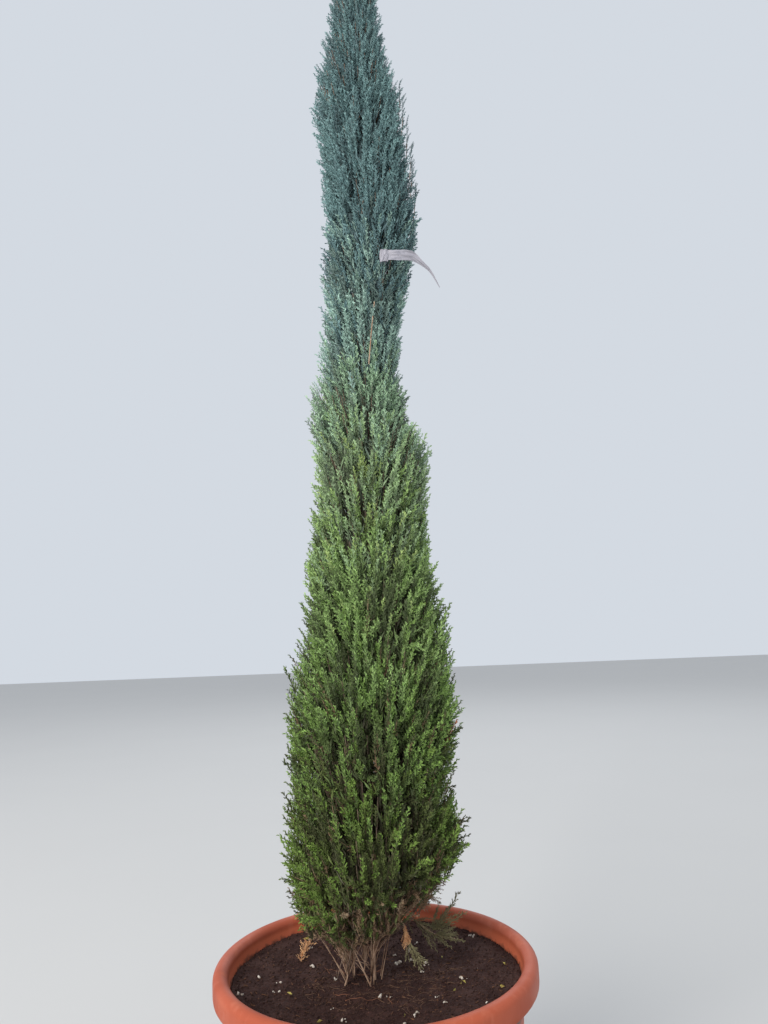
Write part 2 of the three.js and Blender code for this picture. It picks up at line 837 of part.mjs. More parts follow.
// A basal stem's route: its foot on the compost, its bend and its tip under the lowest tier
function basalRoute(sector) {
  const [x, y] = basalFeet[sectorFoot(sector)];
  const angle = sectorAngle(tiers[0], sector);
  const foot = vector(x, y, compost.top + gap);
  const height = skirtHeight(angle) - basal.below;
  const reach = basal.reach * crownRadius(angle, height);
  const tip = trunkAt(height).add(vector(reach * Math.cos(angle), reach * Math.sin(angle), 0));
  const bend = foot.clone().lerp(tip, 0.5).add(vector(0, 0, basal.bow));
  return [foot, bend, tip];
}

// The foot nearest to each sector of the lowest tier
function sectorFoot(sector) {
  const angle = sectorAngle(tiers[0], sector);
  const centre = trunkAt(compost.top);
  const facing = ([x, y]) => Math.cos(Math.atan2(y - centre.y, x - centre.x) - angle);
  const order = basalFeet.map((foot, i) => [facing(foot), i]).sort((a, b) => b[0] - a[0]);
  return order[0][1];
}

function basalEnd(sector) {
  const [, bend, tip] = basalRoute(sector);
  const direction = tip.clone().sub(bend).normalize();
  return { point: tip.clone().addScaledVector(direction, gap), direction };
}

function makeBasalStems() {
  for (let sector = 0; sector < tiers[0].count; sector += 1) {
    const [foot, bend, tip] = basalRoute(sector);
    const radius = basalFeet[sectorFoot(sector)][2];
    const points = [0, 0.34, 0.67, 1].map((share) => bezier(foot, bend, tip, share));
    const radii = points.map((_, i) => radius + ((basal.tipRadius - radius) * i) / 3);
    addMesh(`basal_stem_${sector + 1}`, flatFoot(limb(points, radii, basal.sides), foot.z), 'bark');
  }
}

// Levels a limb's first ring, where it stands on the compost
function flatFoot(geometry, height) {
  const position = geometry.attributes.position;
  for (let i = 0; i < basal.sides; i += 1) {
    position.setZ(i, height);
  }
  return geometry;
}

function makeLowBranches() {
  const clearTrunk = toManifold(trunkLimb(gap));
  for (const branch of lowBranches) {
    const random = stream(seed + lowTwig.seed + branch.length);
    const route = branch.route.map((place) => vector(...place));
    const line = new THREE.CatmullRomCurve3([trunkAt(branch.from), ...route]);
    const points = line.getPoints(lowTwig.steps);
    const radii = points.map((_, i) => lowTwig.radius - lowTwig.taper * i);
    const solids = [limb(points, radii, 3)];
    for (const [share, side, rise] of branch.sprays) {
      const root = line.getPointAt(share);
      const along = line.getTangentAt(share);
      const [u, v] = sideways(along);
      const away = along.clone().addScaledVector(u, side).addScaledVector(v, rise).normalize();
      const start = root.clone().addScaledVector(away, -lowSpray.sunk);
      const end = root.clone().addScaledVector(away, branch.length * within(lowSpray.length, random));
      solids.push(sprayBlade(start, end, lowSpray.width, lowSpray.thickness, random() * Math.PI));
    }
    addMesh(branch.name, toGeometry(snapped(mainBody(fuse(solids).subtract(clearTrunk)))), branch.colour);
  }
}

// The label: a strip on edge, in a loop round its shoot and then out to a thin tail
function makeLabel() {
  const [x, y, z] = label.shoot;
  const points = [];
  const widths = [];
  const { loop } = label;
  for (let i = 0; i <= loop.steps; i += 1) {
    const angle = Math.PI * (loop.from + (loop.turn * i) / loop.steps);
    points.push(vector(x + loop.radius * Math.cos(angle), y + loop.radius * Math.sin(angle), z));
    widths.push(loop.width);
  }
  label.route.forEach((point, i) => {
    points.push(vector(...point));
    widths.push(label.widths[i]);
  });
  const rings = points.map((point, i) => {
    const before = points[Math.max(i - 1, 0)];
    const after = points[Math.min(i + 1, points.length - 1)];
    const along = after.clone().sub(before).normalize();
    const out = up.clone().cross(along).normalize().multiplyScalar(label.thickness / 2);
    const tall = along.clone().cross(out).normalize().multiplyScalar(widths[i] / 2);
    return [
      point.clone().sub(out).sub(tall),
      point.clone().add(out).sub(tall),
      point.clone().add(out).add(tall),
      point.clone().sub(out).add(tall),
    ];
  });
  addMesh('plant_label', loft(rings), 'label');
}

makeTub();
makeCompost();
addMesh('trunk', trunkLimb(0), 'bark');
makeBasalStems();
makeCrown();
makeLowBranches();
makeLabel();

export default part;
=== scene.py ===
import math

import bpy
import numpy as np
from mathutils import Matrix, Vector, noise


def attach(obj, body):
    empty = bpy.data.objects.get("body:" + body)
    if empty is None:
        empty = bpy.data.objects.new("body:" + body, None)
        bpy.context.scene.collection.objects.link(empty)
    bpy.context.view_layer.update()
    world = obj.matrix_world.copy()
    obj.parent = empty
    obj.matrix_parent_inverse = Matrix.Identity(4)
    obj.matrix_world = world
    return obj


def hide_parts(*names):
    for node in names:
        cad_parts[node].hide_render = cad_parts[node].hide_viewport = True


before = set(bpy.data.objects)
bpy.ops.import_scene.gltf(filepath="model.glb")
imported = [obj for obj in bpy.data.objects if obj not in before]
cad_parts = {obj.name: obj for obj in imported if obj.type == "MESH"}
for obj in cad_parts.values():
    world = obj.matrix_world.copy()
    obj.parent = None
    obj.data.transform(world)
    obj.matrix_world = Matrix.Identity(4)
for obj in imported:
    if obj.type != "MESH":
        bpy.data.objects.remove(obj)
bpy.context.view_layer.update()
bpy.ops.object.select_all(action="DESELECT")

mm = 0.001
seed = 41  # the same start as the solids
goldenAngle = 2.4
print("frame loaded:", len(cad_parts), "nodes")


# camera and light

view = {"place": (0.0398, -1.3356, 0.8843), "pitch": 8.03, "roll": -2.23, "lens": 28.125, "sensor": 36}
studio = {
    "floorSize": 30,
    "floorColor": (0.60, 0.59, 0.575),
    "skyColor": (0.86, 0.92, 1.0, 1),
    "skyStrength": 0.76,
    "aim": (0, 0, 1.1),
    "lampSize": 4.5,
    "lamps": [  # place, watts and colour
        ((-4.2, -5.6, 4.6), 560, (1.0, 0.97, 0.92)),
        ((0.6, -6.8, 2.4), 15, (0.97, 0.98, 1.0)),
        ((1.2, 5.6, 6.0), 110, (0.92, 0.96, 1.0)),
    ],
}


def makeCamera():
    bpy.ops.object.camera_add()
    camera = bpy.context.object
    camera.name = "frontCamera"
    pitch = Matrix.Rotation(math.radians(90 + view["pitch"]), 4, "X")
    roll = Matrix.Rotation(math.radians(view["roll"]), 4, "Z")
    camera.matrix_world = Matrix.Translation(view["place"]) @ pitch @ roll
    camera.data.lens = view["lens"]
    camera.data.sensor_width = view["sensor"]
    camera.data.clip_start = 0.05
    bpy.context.scene.camera = camera


def makeLight():
    for place, watts, color in studio["lamps"]:
        bpy.ops.object.light_add(type="AREA", location=place)
        lamp = bpy.context.object
        lamp.rotation_euler = (Vector(studio["aim"]) - Vector(place)).to_track_quat("-Z", "Y").to_euler()
        lamp.data.size = studio["lampSize"]
        lamp.data.energy = watts
        lamp.data.color = color
    world = bpy.data.worlds.new("paleSky")
    world.use_nodes = True
    sky = world.node_tree.nodes["Background"].inputs
    sky["Color"].default_value = studio["skyColor"]
    sky["Strength"].default_value = studio["skyStrength"]
    bpy.context.scene.world = world


makeCamera()
makeLight()
bpy.context.scene.view_settings.view_transform = "Standard"
print("camera and light set")


# materials


class Wire:  # a socket of a material, with Python's operators as Math nodes
    def __init__(self, tree, socket=None):
        self.tree = tree
        self.socket = socket

    def make(self, kind, sockets, out=0, **settings):
        node = self.tree.nodes.new("ShaderNode" + kind)
        for name, value in settings.items():
            setattr(node, name, value)
        for name, value in sockets.items():
            if isinstance(value, Wire):
                self.tree.links.new(value.socket, node.inputs[name])
            else:
                node.inputs[name].default_value = value
        return Wire(self.tree, node.outputs[out] if len(node.outputs) else None)

    def math(self, operation, first, second):
        return self.make("Math", {0: first, 1: second}, operation=operation)

    def __add__(self, other):
        return self.math("ADD", self, other)

    def __sub__(self, other):
        return self.math("SUBTRACT", self, other)

    def __rsub__(self, other):
        return self.math("SUBTRACT", other, self)

    def __mul__(self, other):
        return self.math("MULTIPLY", self, other)

    __radd__ = __add__
    __rmul__ = __mul__

    def noise(self, scale, detail=3, stretch=(1, 1, 1)):
        place = self.make("Mapping", {"Vector": self, "Scale": stretch})
        return self.make("TexNoise", {"Vector": place, "Scale": scale, "Detail": detail})

    def between(self, low, high):  # 0 up to low, 1 from high
        sockets = {"Value": self, "From Min": low, "From Max": high}
        return self.make("MapRange", sockets, interpolation_type="SMOOTHSTEP")

    def mix(self, first, second):  # colours, by this as the factor
        ends = [end if isinstance(end, Wire) else (*end, 1) for end in (first, second)]
        return self.make("Mix", {0: self, 6: ends[0], 7: ends[1]}, 2, data_type="RGBA")

    def height(self):
        return self.make("SeparateXYZ", {"Vector": self}, 2)


def startMaterial(name):
    material = bpy.data.materials.new(name)
    material.use_nodes = True
    material.node_tree.nodes.clear()
    return material, Wire(material.node_tree).make("TexCoord", {}, "Object")


def endMaterial(material, place, color, roughness, relief=None, depth=0.001, strength=0.5, shine=0.5):
    sockets = {"Base Color": color, "Roughness": roughness, "Specular IOR Level": shine}
    if relief is not None:
        sockets["Normal"] = place.make("Bump", {"Height": relief, "Distance": depth, "Strength": strength})
    shader = place.make("BsdfPrincipled", sockets)
    place.make("OutputMaterial", {"Surface": shader})
    return material


def paleFloor():
    material, place = startMaterial("paleFloor")
    color = place.noise(1.5).mix(studio["floorColor"], [0.97 * c for c in studio["floorColor"]])
    return endMaterial(material, place, color, 0.9)


def terracottaPlastic():
    material, place = startMaterial("terracottaPlastic")
    base, deep, chalk = (0.455, 0.098, 0.046), (0.33, 0.064, 0.030), (0.66, 0.24, 0.15)
    # the dark colour on the next line is for a band low on the inner wall: partly soil smears, partly
    # painted shade
    # the lighter orange on the next line is painted light on the inner wall
    smearAndShadeColor, inner = (0.06, 0.032, 0.022), (0.64, 0.160, 0.076)
    clouds = place.noise(9).between(0.4, 0.62)
    grain = place.noise(420, 2)
    streaks = place.noise(60, 4, (1, 1, 0.06)).between(0.55, 0.75)
    scuffs = place.noise(34, 5).between(0.56, 0.72)
    rim = place.height().between(0.352, 0.374)
    color = (clouds * 0.45).mix(base, deep)
    color = (streaks * 0.18).mix(color, chalk)
    color = (scuffs * (0.05 + 0.22 * rim)).mix(color, chalk)
    color = (grain.between(0.62, 0.78) * 0.25).mix(color, deep)
    radius = place.make("VectorMath", {0: place, 1: (1, 1, 0)}, operation="MULTIPLY")
    radius = radius.make("VectorMath", {0: radius}, 1, operation="LENGTH")
    inside = (1 - radius.between(0.2262, 0.2272)) * place.height().between(0.3, 0.31)
    splash = (place.noise(90, 5) - 0.5) * 0.022 + place.height()
    # a dark band on the inner wall, from the soil line up to a ragged edge: partly soil smears, partly
    # painted shade
    smearAndPaintedShade = inside * (1 - splash.between(0.345, 0.354))
    # the inner wall is mixed towards that lighter orange, painted light, and the dark band goes over it
    color = (smearAndPaintedShade * 0.85).mix((inside * 0.6).mix(color, inner), smearAndShadeColor)
    roughness = 0.42 + 0.18 * clouds + 0.2 * scuffs
    relief = 0.6 * grain + 0.4 * place.noise(130, 3)
    return endMaterial(material, place, color, roughness, relief, 0.0006, shine=0.25)


def moistCompost():
    material, place = startMaterial("moistCompost")
    dark, brown, pale = (0.031, 0.0132, 0.0112), (0.060, 0.0285, 0.0230), (0.135, 0.065, 0.048)
    drier = place.noise(26, 4).between(0.38, 0.66)
    specks = place.noise(430, 3).between(0.56, 0.7)
    color = (specks * 0.55).mix((drier * 0.7).mix(dark, brown), pale)
    relief = place.noise(240, 5) + 0.5 * place.noise(700, 2)
    return endMaterial(material, place, color, 0.95 - 0.1 * drier, relief, 0.0016, 0.9, 0.18)


def plainBits(name, color, shadow, roughness):
    material, place = startMaterial(name)
    worn = place.noise(200, 3)
    tone = worn.between(0.35, 0.7).mix(color, shadow)
    return endMaterial(material, place, tone, roughness, worn, 0.0004, 0.6, 0.2)


def fibrousBark(name, grey, brown, groove):
    material, place = startMaterial(name)
    strips = place.noise(170, 5, (1, 1, 0.07))
    flakes = place.noise(380, 4, (1, 1, 0.25))
    color = strips.between(0.36, 0.64).mix(brown, grey)
    color = (flakes.between(0.55, 0.7) * 0.6).mix(color, groove)
    return endMaterial(material, place, color, 0.9, strips + 0.5 * flakes, 0.0012, 0.9)


def scaleLeaf(name, color, roughness=0.6):
    material, place = startMaterial(name)
    darker, lighter = [0.78 * c for c in color], [min(1, 1.22 * c) for c in color]
    tone = place.noise(90, 3).between(0.3, 0.7).mix(darker, lighter)
    return endMaterial(material, place, tone, roughness, place.noise(1500, 1), 0.0003, shine=0.35)


def labelPlastic():
    material, place = startMaterial("labelPlastic")
    smudge = place.noise(120, 4).between(0.5, 0.75)
    color = (smudge * 0.6).mix((0.36, 0.35, 0.395), (0.21, 0.215, 0.255))
    return endMaterial(material, place, color, 0.6, place.noise(260, 3), 0.0006)


bark = fibrousBark("fibrousBark", (0.56, 0.385, 0.265), (0.31, 0.18, 0.115), (0.08, 0.046, 0.031))
twigBark = fibrousBark("twigBark", (0.235, 0.160, 0.115), (0.145, 0.100, 0.072), (0.05, 0.034, 0.025))
print("materials ready")


# shaping tools shared by the pieces


def choose(obj):
    bpy.ops.object.select_all(action="DESELECT")
    bpy.context.view_layer.objects.active = obj
    obj.select_set(True)


def edit(obj):
    choose(obj)
    bpy.ops.object.mode_set(mode="EDIT")
    bpy.ops.mesh.select_mode(type="VERT")


def leave():
    bpy.ops.object.mode_set(mode="OBJECT")


def settle(obj, name, material):  # its place goes into the mesh, and it gets a name and a material
    obj.name = name
    obj.data.name = name
    obj.data.materials.clear()
    obj.data.materials.append(material)
    choose(obj)
    bpy.ops.object.transform_apply(location=True, rotation=True, scale=True)
    bpy.ops.object.select_all(action="DESELECT")
    return obj


def applyModifier(obj, kind, **settings):
    choose(obj)
    modifier = obj.modifiers.new("shape", kind)
    for name, value in settings.items():
        setattr(modifier, name, value)
    bpy.ops.object.modifier_apply(modifier=modifier.name)


def smoothShaded(obj):
    obj.data.polygons.foreach_set("use_smooth", np.ones(len(obj.data.polygons), dtype=bool))


def carry(obj, slot, *nodes):  # every piece rides on the one body
    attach(obj, "root")
    if nodes:
        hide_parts(*nodes)


def addMesh(name, shape, material, slot, *nodes):  # a piece from points in millimetres, and triangles
    points, triangles = shape
    mesh = bpy.data.meshes.new(name)
    mesh.vertices.add(len(points))
    mesh.vertices.foreach_set("co", (points * mm).astype(np.float32).ravel())
    mesh.loops.add(triangles.size)
    mesh.loops.foreach_set("vertex_index", triangles.astype(np.int32).ravel())
    mesh.polygons.add(len(triangles))
    mesh.polygons.foreach_set("loop_start", np.arange(0, triangles.size, 3, dtype=np.int32))
    mesh.update(calc_edges=True)
    mesh.materials.append(material)
    obj = bpy.data.objects.new(name, mesh)
    bpy.context.collection.objects.link(obj)
    carry(obj, slot, *nodes)


def joined(parts):  # several pairs of points and triangles as one
    offsets = np.cumsum([0] + [len(points) for points, _ in parts[:-1]])
    points = np.concatenate([points for points, _ in parts])
    return points, np.concatenate([faces + start for (_, faces), start in zip(parts, offsets)])


def repeat(points, faces):  # one pattern of faces for each block of points
    count, size, _ = points.shape
    every = faces[None] + (np.arange(count) * size)[:, None, None]
    return points.reshape(-1, 3), every.reshape(-1, 3)


def movePoints(obj, change):  # change takes and returns an array of points, in metres
    points = np.empty(3 * len(obj.data.vertices), dtype=np.float32)
    obj.data.vertices.foreach_get("co", points)
    obj.data.vertices.foreach_set("co", change(points.reshape(-1, 3)).astype(np.float32).ravel())
    obj.data.update()


def smoothPath(points, steps):  # a curve through the points
    points = np.array(points, dtype=float)
    ends = np.concatenate([[2 * points[0] - points[1]], points, [2 * points[-1] - points[-2]]])
    path = []
    for i in range(len(points) - 1):
        a, b, c, d = ends[i : i + 4]
        for t in np.arange(steps) / steps:
            turn = 2 * b + (c - a) * t + (2 * a - 5 * b + 4 * c - d) * t**2 + (3 * b - a - 3 * c + d) * t**3
            path.append(turn / 2)
    return np.array(path + [points[-1]])


def bezier(a, b, c, share):
    return (1 - share) ** 2 * a + 2 * share * (1 - share) * b + share**2 * c


def arc(a, b, c, count):  # points along the curve
    return np.array([bezier(a, b, c, share) for share in np.linspace(0, 1, count)])


def unit(vectors):
    return vectors / np.maximum(np.linalg.norm(vectors, axis=-1, keepdims=True), 1e-9)


def directionOut(angle, lean=math.pi / 2):  # lean is from upright
    return np.array([math.cos(angle) * math.sin(lean), math.sin(angle) * math.sin(lean), math.cos(lean)])


def sideways(directions):  # two directions square to each one
    helper = np.where(np.abs(directions[..., 2:3]) > 0.9, [1.0, 0.0, 0.0], [0.0, 0.0, 1.0])
    across = unit(np.cross(helper, directions))
    return across, np.cross(directions, across)


def tubes(paths, radii, sides):  # many limbs of equally many points, closed at both ends
    count, rings, _ = paths.shape
    along = unit(np.gradient(paths, axis=1))
    across = np.empty_like(paths)
    across[:, 0] = sideways(along[:, 0])[0]
    for i in range(1, rings):
        before = across[:, i - 1]
        dots = np.sum(before * along[:, i], axis=1, keepdims=True)
        across[:, i] = unit(before - dots * along[:, i])
    other = np.cross(along, across)
    angles = np.arange(sides) * 2 * math.pi / sides
    ring = across[:, :, None] * np.cos(angles)[:, None] + other[:, :, None] * np.sin(angles)[:, None]
    points = paths[:, :, None] + radii[:, :, None, None] * ring
    faces = []
    for i in range(rings - 1):
        for k in range(sides):
            a, b = i * sides + k, i * sides + (k + 1) % sides
            faces += [(a, b, b + sides), (a, b + sides, a + sides)]
    top = (rings - 1) * sides
    for k in range(1, sides - 1):
        faces += [(0, k + 1, k), (top, top + k, top + k + 1)]
    return repeat(points.reshape(count, rings * sides, 3), np.array(faces))


def limbs(paths, radii, sides):  # tubes that all taper from the first radius to the second
    paths = np.array(paths)
    return tubes(paths, np.tile(np.linspace(*radii, paths.shape[1]), (len(paths), 1)), sides)


bladeFold = 0.45  # depth of a leaf's fold, as a share of its width


def blades(roots, tips, widths, rolls):  # small leaves, folded along their length
    along = unit(tips - roots)
    across, other = sideways(along)
    side = across * np.cos(rolls)[:, None] + other * np.sin(rolls)[:, None]
    middle = roots + (tips - roots) * 0.45 + np.cross(along, side) * widths[:, None] * bladeFold
    half = side * widths[:, None] / 2
    points = np.stack([roots, tips, middle + half, middle - half], axis=1)
    return repeat(points, np.array([(0, 2, 1), (0, 1, 3)]))


# tub

tub = {
    "sides": 144, "height": 375, "rimRadius": 250, "rimDepth": 38, "mouthRadius": 227, "bandRadius": 226,
    "shoulderTop": 278, "shoulderFoot": 262, "shoulderStep": 11, "footRadius": 172,
    "wall": 4.5, "floorTop": 14, "recess": 8, "footRing": 18,
    "grooves": (254, 247),  # heights of the two moulded lines under the shoulder
    "grooveDepth": 1.3, "grooveReach": 2.6, "rollSteps": 14, "smoothAngle": 38,
    "notches": 6, "notchWidth": 26,
    "drains": 4, "drainRadius": 7, "drainCircle": 95, "drainHeight": 11, "drainDepth": 24,
}


def wallRadius(height):  # outside of the wall under the rim
    heights = [0, tub["shoulderFoot"], tub["shoulderTop"], tub["height"] - tub["rimDepth"]]
    upper = tub["bandRadius"] - 3
    radii = [tub["footRadius"], upper - tub["shoulderStep"], upper, tub["bandRadius"]]
    return float(np.interp(height, heights, radii))


def onWall(heights, inset=0):
    return [(wallRadius(height) - inset, height) for height in heights]


def tubProfile():  # radius and height, from the underside up the outside and down to the floor
    foot, wall, outside = tub["footRadius"], tub["wall"], tub["rimRadius"]
    inner = foot - tub["footRing"]
    points = [(inner, tub["recess"]), (inner, 1.2), (inner + 1.2, 0), (foot - 1.5, 0), (foot, 1.6)]
    points += onWall((60, 120, 180, 230))
    for height in reversed(tub["grooves"]):
        radius, reach = wallRadius(height), tub["grooveReach"]
        points += [(radius, height - reach), (radius - tub["grooveDepth"], height - 1)]
        points += [(radius - tub["grooveDepth"], height + 1), (radius, height + reach)]
    points += [*onWall([259]), *onWall([262], -0.4), *onWall([267, 274]), *onWall([278], 0.2)]
    rimFoot = tub["height"] - tub["rimDepth"]
    points += [(wallRadius(281), 281.5), *onWall([308, 332]), (wallRadius(337) + 0.8, 336)]
    points += [(230, rimFoot + 1), (243, rimFoot), (247.5, rimFoot + 1)]
    points += [(outside - 0.6, rimFoot + 4), (outside, rimFoot + 8), (outside, rimFoot + 17)]
    roll = (outside - tub["mouthRadius"]) / 2
    centre = tub["mouthRadius"] + roll
    for i in range(tub["rollSteps"] + 1):
        angle = math.pi * i / tub["rollSteps"]
        points.append((centre + roll * math.cos(angle), tub["height"] - roll + roll * math.sin(angle)))
    points += [(226.5, 359), (225.3, 353), (223.8, 347), (222.4, 341)]
    points += onWall((330, 300, 278, 262, 200, 100), wall)
    return points + [(wallRadius(20) - wall - 1, 18), (wallRadius(14) - wall - 6, tub["floorTop"])]


def drawnUp(rings, sides):  # a circle drawn up through rings of x, y, height and radius
    x, y, height, radius = rings[0]
    place = (x * mm, y * mm, height * mm)
    bpy.ops.mesh.primitive_circle_add(vertices=sides, radius=radius * mm, location=place)
    obj = bpy.context.object
    edit(obj)
    bpy.ops.mesh.select_all(action="SELECT")
    for nextX, nextY, nextHeight, nextRadius in rings[1:]:
        step = ((nextX - x) * mm, (nextY - y) * mm, (nextHeight - height) * mm)
        bpy.ops.mesh.extrude_region_move(TRANSFORM_OT_translate={"value": step})
        grow = nextRadius / radius
        centre = (nextX * mm, nextY * mm, nextHeight * mm)
        bpy.ops.transform.resize(value=(grow, grow, 1), center_override=centre)
        x, y, height, radius = nextX, nextY, nextHeight, nextRadius
    bpy.ops.mesh.edge_face_add()  # the last ring is closed
    bpy.ops.mesh.select_all(action="DESELECT")
    bpy.ops.mesh.select_non_manifold(extend=False)
    bpy.ops.mesh.edge_face_add()  # and then the first
    bpy.ops.mesh.select_all(action="SELECT")
    bpy.ops.mesh.remove_doubles(threshold=1e-6)
    bpy.ops.mesh.normals_make_consistent(inside=False)
    leave()
    return obj


def cutOut(body, cutter):  # takes a shape out of a body, and removes it
    applyModifier(body, "BOOLEAN", operation="DIFFERENCE", object=cutter, solver="EXACT")
    bpy.data.objects.remove(cutter)


def roundAxis(count, radius, height):  # as many angles and places, evenly round the tub's axis
    for i in range(count):
        angle = (i + 0.5) * 2 * math.pi / count
        yield angle, (radius * math.cos(angle) * mm, radius * math.sin(angle) * mm, height * mm)


def makeTub():
    body = drawnUp([(0, 0, height, radius) for radius, height in tubProfile()], tub["sides"])
    size = (3 * tub["footRing"] * mm, tub["notchWidth"] * mm, 2 * tub["recess"] * mm)
    for angle, place in roundAxis(tub["notches"], tub["footRadius"] - tub["footRing"] / 2, 0):
        bpy.ops.mesh.primitive_cube_add(size=1, location=place, rotation=(0, 0, angle), scale=size)
        cutOut(body, bpy.context.object)
    radius, depth = tub["drainRadius"] * mm, tub["drainDepth"] * mm
    for _, place in roundAxis(tub["drains"], tub["drainCircle"], tub["drainHeight"]):
        bpy.ops.mesh.primitive_cylinder_add(vertices=24, radius=radius, depth=depth, location=place)
        cutOut(body, bpy.context.object)
    settle(body, "tubShell", terracottaPlastic())
    choose(body)
    bpy.ops.object.shade_smooth_by_angle(angle=math.radians(tub["smoothAngle"]))
    carry(body, "terracotta", "tub")


makeTub()
print("tub made")


# compost and what lies on it

soil = {
    "top": 339.5, "radius": 222.5, "cells": 190, "thickness": 12,
    "lump": 2.6, "crumb": 1.7,  # heights of its unevenness
    "bank": 8, "bankFrom": 70,  # it rises towards the wall
    "crumbs": 3600, "perlite": 96, "chips": 260, "rootPieces": 14, "fibres": 260, "leafBits": 18,
}
bits = {  # colour, shade and roughness
    "crumbDark": ((0.032, 0.0155, 0.013), (0.056, 0.028, 0.022), 0.95),
    "crumbBrown": ((0.04, 0.02, 0.014), (0.07, 0.034, 0.022), 0.95),
    "perliteWhite": ((0.74, 0.67, 0.59), (0.45, 0.37, 0.3), 0.85),
    "woodChip": ((0.16, 0.075, 0.04), (0.07, 0.035, 0.022), 0.85),
    "rootFibre": ((0.21, 0.12, 0.075), (0.1, 0.052, 0.035), 0.85),
    "reddishRoot": ((0.26, 0.11, 0.066), (0.15, 0.065, 0.042), 0.85),
    "yellowedLeaf": ((0.42, 0.36, 0.1), (0.25, 0.17, 0.05), 0.8),
}
rng = np.random.default_rng(seed)


def soilHeight(x, y):  # millimetres
    far = min(1.0, max(0.0, (math.hypot(x, y) - 40) / 60))
    lump = noise.noise(Vector((x / 38, y / 38, 0.3))) * soil["lump"] * (0.35 + 0.65 * far)
    clod = abs(noise.noise(Vector((x / 11, y / 11, 4.1)))) * soil["crumb"] * 1.6
    crumb = noise.noise(Vector((x / 4.2, y / 4.2, 8.7))) * soil["crumb"]
    rise = (math.hypot(x, y) - soil["bankFrom"]) / (soil["radius"] - soil["bankFrom"])
    rise = min(1.0, max(0.0, rise))
    return soil["top"] + soil["bank"] * rise * rise * (3 - 2 * rise) + lump + clod + crumb


def makeSoil():
    material = moistCompost()
    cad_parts["compost"].data.materials.clear()
    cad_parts["compost"].data.materials.append(material)
    size, cells, place = 2 * (soil["radius"] + 4) * mm, soil["cells"], (0, 0, soil["top"] * mm)
    bpy.ops.mesh.primitive_grid_add(x_subdivisions=cells, y_subdivisions=cells, size=size, location=place)
    obj = bpy.context.object
    edit(obj)
    bpy.ops.mesh.select_all(action="DESELECT")
    leave()
    for vertex in obj.data.vertices:
        vertex.select = math.hypot(vertex.co.x, vertex.co.y) > (soil["radius"] + 2) * mm
    edit(obj)
    bpy.ops.mesh.delete(type="VERT")
    leave()
    settle(obj, "compostSurface", material)

    def roughen(points):
        points[:, 2] = [soilHeight(x / mm, y / mm) * mm for x, y, _ in points]
        return points

    movePoints(obj, roughen)
    applyModifier(obj, "SOLIDIFY", thickness=soil["thickness"] * mm, offset=-1)
    smoothShaded(obj)
    carry(obj, "compost")


def pebbleShape(squash):  # an uneven twenty-faced crumb, one across
    ratio = (1 + math.sqrt(5)) / 2
    sides = [(-1, ratio), (1, ratio), (-1, -ratio), (1, -ratio)]
    corners = [(a, b, 0) for a, b in sides] + [(0, a, b) for a, b in sides] + [(b, 0, a) for a, b in sides]
    faces = [(0, 11, 5), (0, 5, 1), (0, 1, 7), (0, 7, 10), (0, 10, 11), (1, 5, 9), (5, 11, 4), (11, 10, 2)]
    faces += [(10, 7, 6), (7, 1, 8), (3, 9, 4), (3, 4, 2), (3, 2, 6), (3, 6, 8), (3, 8, 9), (4, 9, 5)]
    faces += [(2, 4, 11), (6, 2, 10), (8, 6, 7), (9, 8, 1)]
    points = unit(np.array(corners, dtype=float)) * rng.uniform(0.26, 0.6, (12, 1))
    return points * [1, rng.uniform(0.5, 0.9), squash], np.array(faces)


def scatterPlaces(count, inner=0, outer=None):
    radius = np.sqrt(rng.uniform(inner**2, (outer or soil["radius"] - 4) ** 2, count))
    angle = rng.uniform(0, 2 * math.pi, count)
    x, y = radius * np.cos(angle), radius * np.sin(angle)
    return np.stack([x, y, [soilHeight(a, b) for a, b in zip(x, y)]], axis=1)


def spun(points, sizes):  # copies turned every way
    turns = np.linalg.qr(rng.normal(size=(len(sizes), 3, 3)))[0]
    turns *= np.sign(np.linalg.det(turns))[:, None, None]
    return np.einsum("vi,nij->nvj", points, turns) * sizes[:, None, None]


def scatterPebbles(name, kind, count, sizes, squash, sunk, inner=0, outer=None, clump=1):
    parts = []
    variants = 6
    some = count // variants
    for _ in range(variants):
        points, faces = pebbleShape(squash)
        scale = rng.uniform(0, 1, some) ** 2 * (sizes[1] - sizes[0]) + sizes[0]
        places = np.repeat(scatterPlaces(math.ceil(some / clump), inner, outer), clump, axis=0)[:some]
        if clump > 1:
            places[:, :2] += rng.normal(0, 0.55, (some, 2)) * scale[:, None]
        places[:, 2] += scale * (0.3 - sunk)
        parts.append(repeat(spun(points, scale) + places[:, None], faces))
    addMesh(name, joined(parts), plainBits(kind, *bits[kind]), "compost")


def scatterFibres(name, kind, count, lengths, radius, inner=0, outer=None, lift=0.6):
    steps = 5
    paths = np.empty((count, steps, 3))
    paths[:, 0] = scatterPlaces(count, inner, outer)
    heading = rng.uniform(0, 2 * math.pi, count)
    curl = rng.normal(0, 0.5, count)
    length = rng.uniform(*lengths, count)
    for i in range(1, steps):
        angle = heading + curl * i / steps
        step = np.stack([np.cos(angle), np.sin(angle), np.zeros(count)], axis=1)
        paths[:, i] = paths[:, i - 1] + step * (length / steps)[:, None]
    for row in paths.reshape(-1, 3):
        row[2] = soilHeight(row[0], row[1]) + lift
    paths[:, :, 2] += rng.uniform(-0.4, 1.2, (count, 1)) * np.linspace(0, 1, steps)
    radii = np.tile(np.linspace(1, 0.45, steps), (count, 1)) * rng.uniform(0.6, 1.2, (count, 1)) * radius
    addMesh(name, tubes(paths, radii, 4), plainBits(kind, *bits[kind]), "compost")


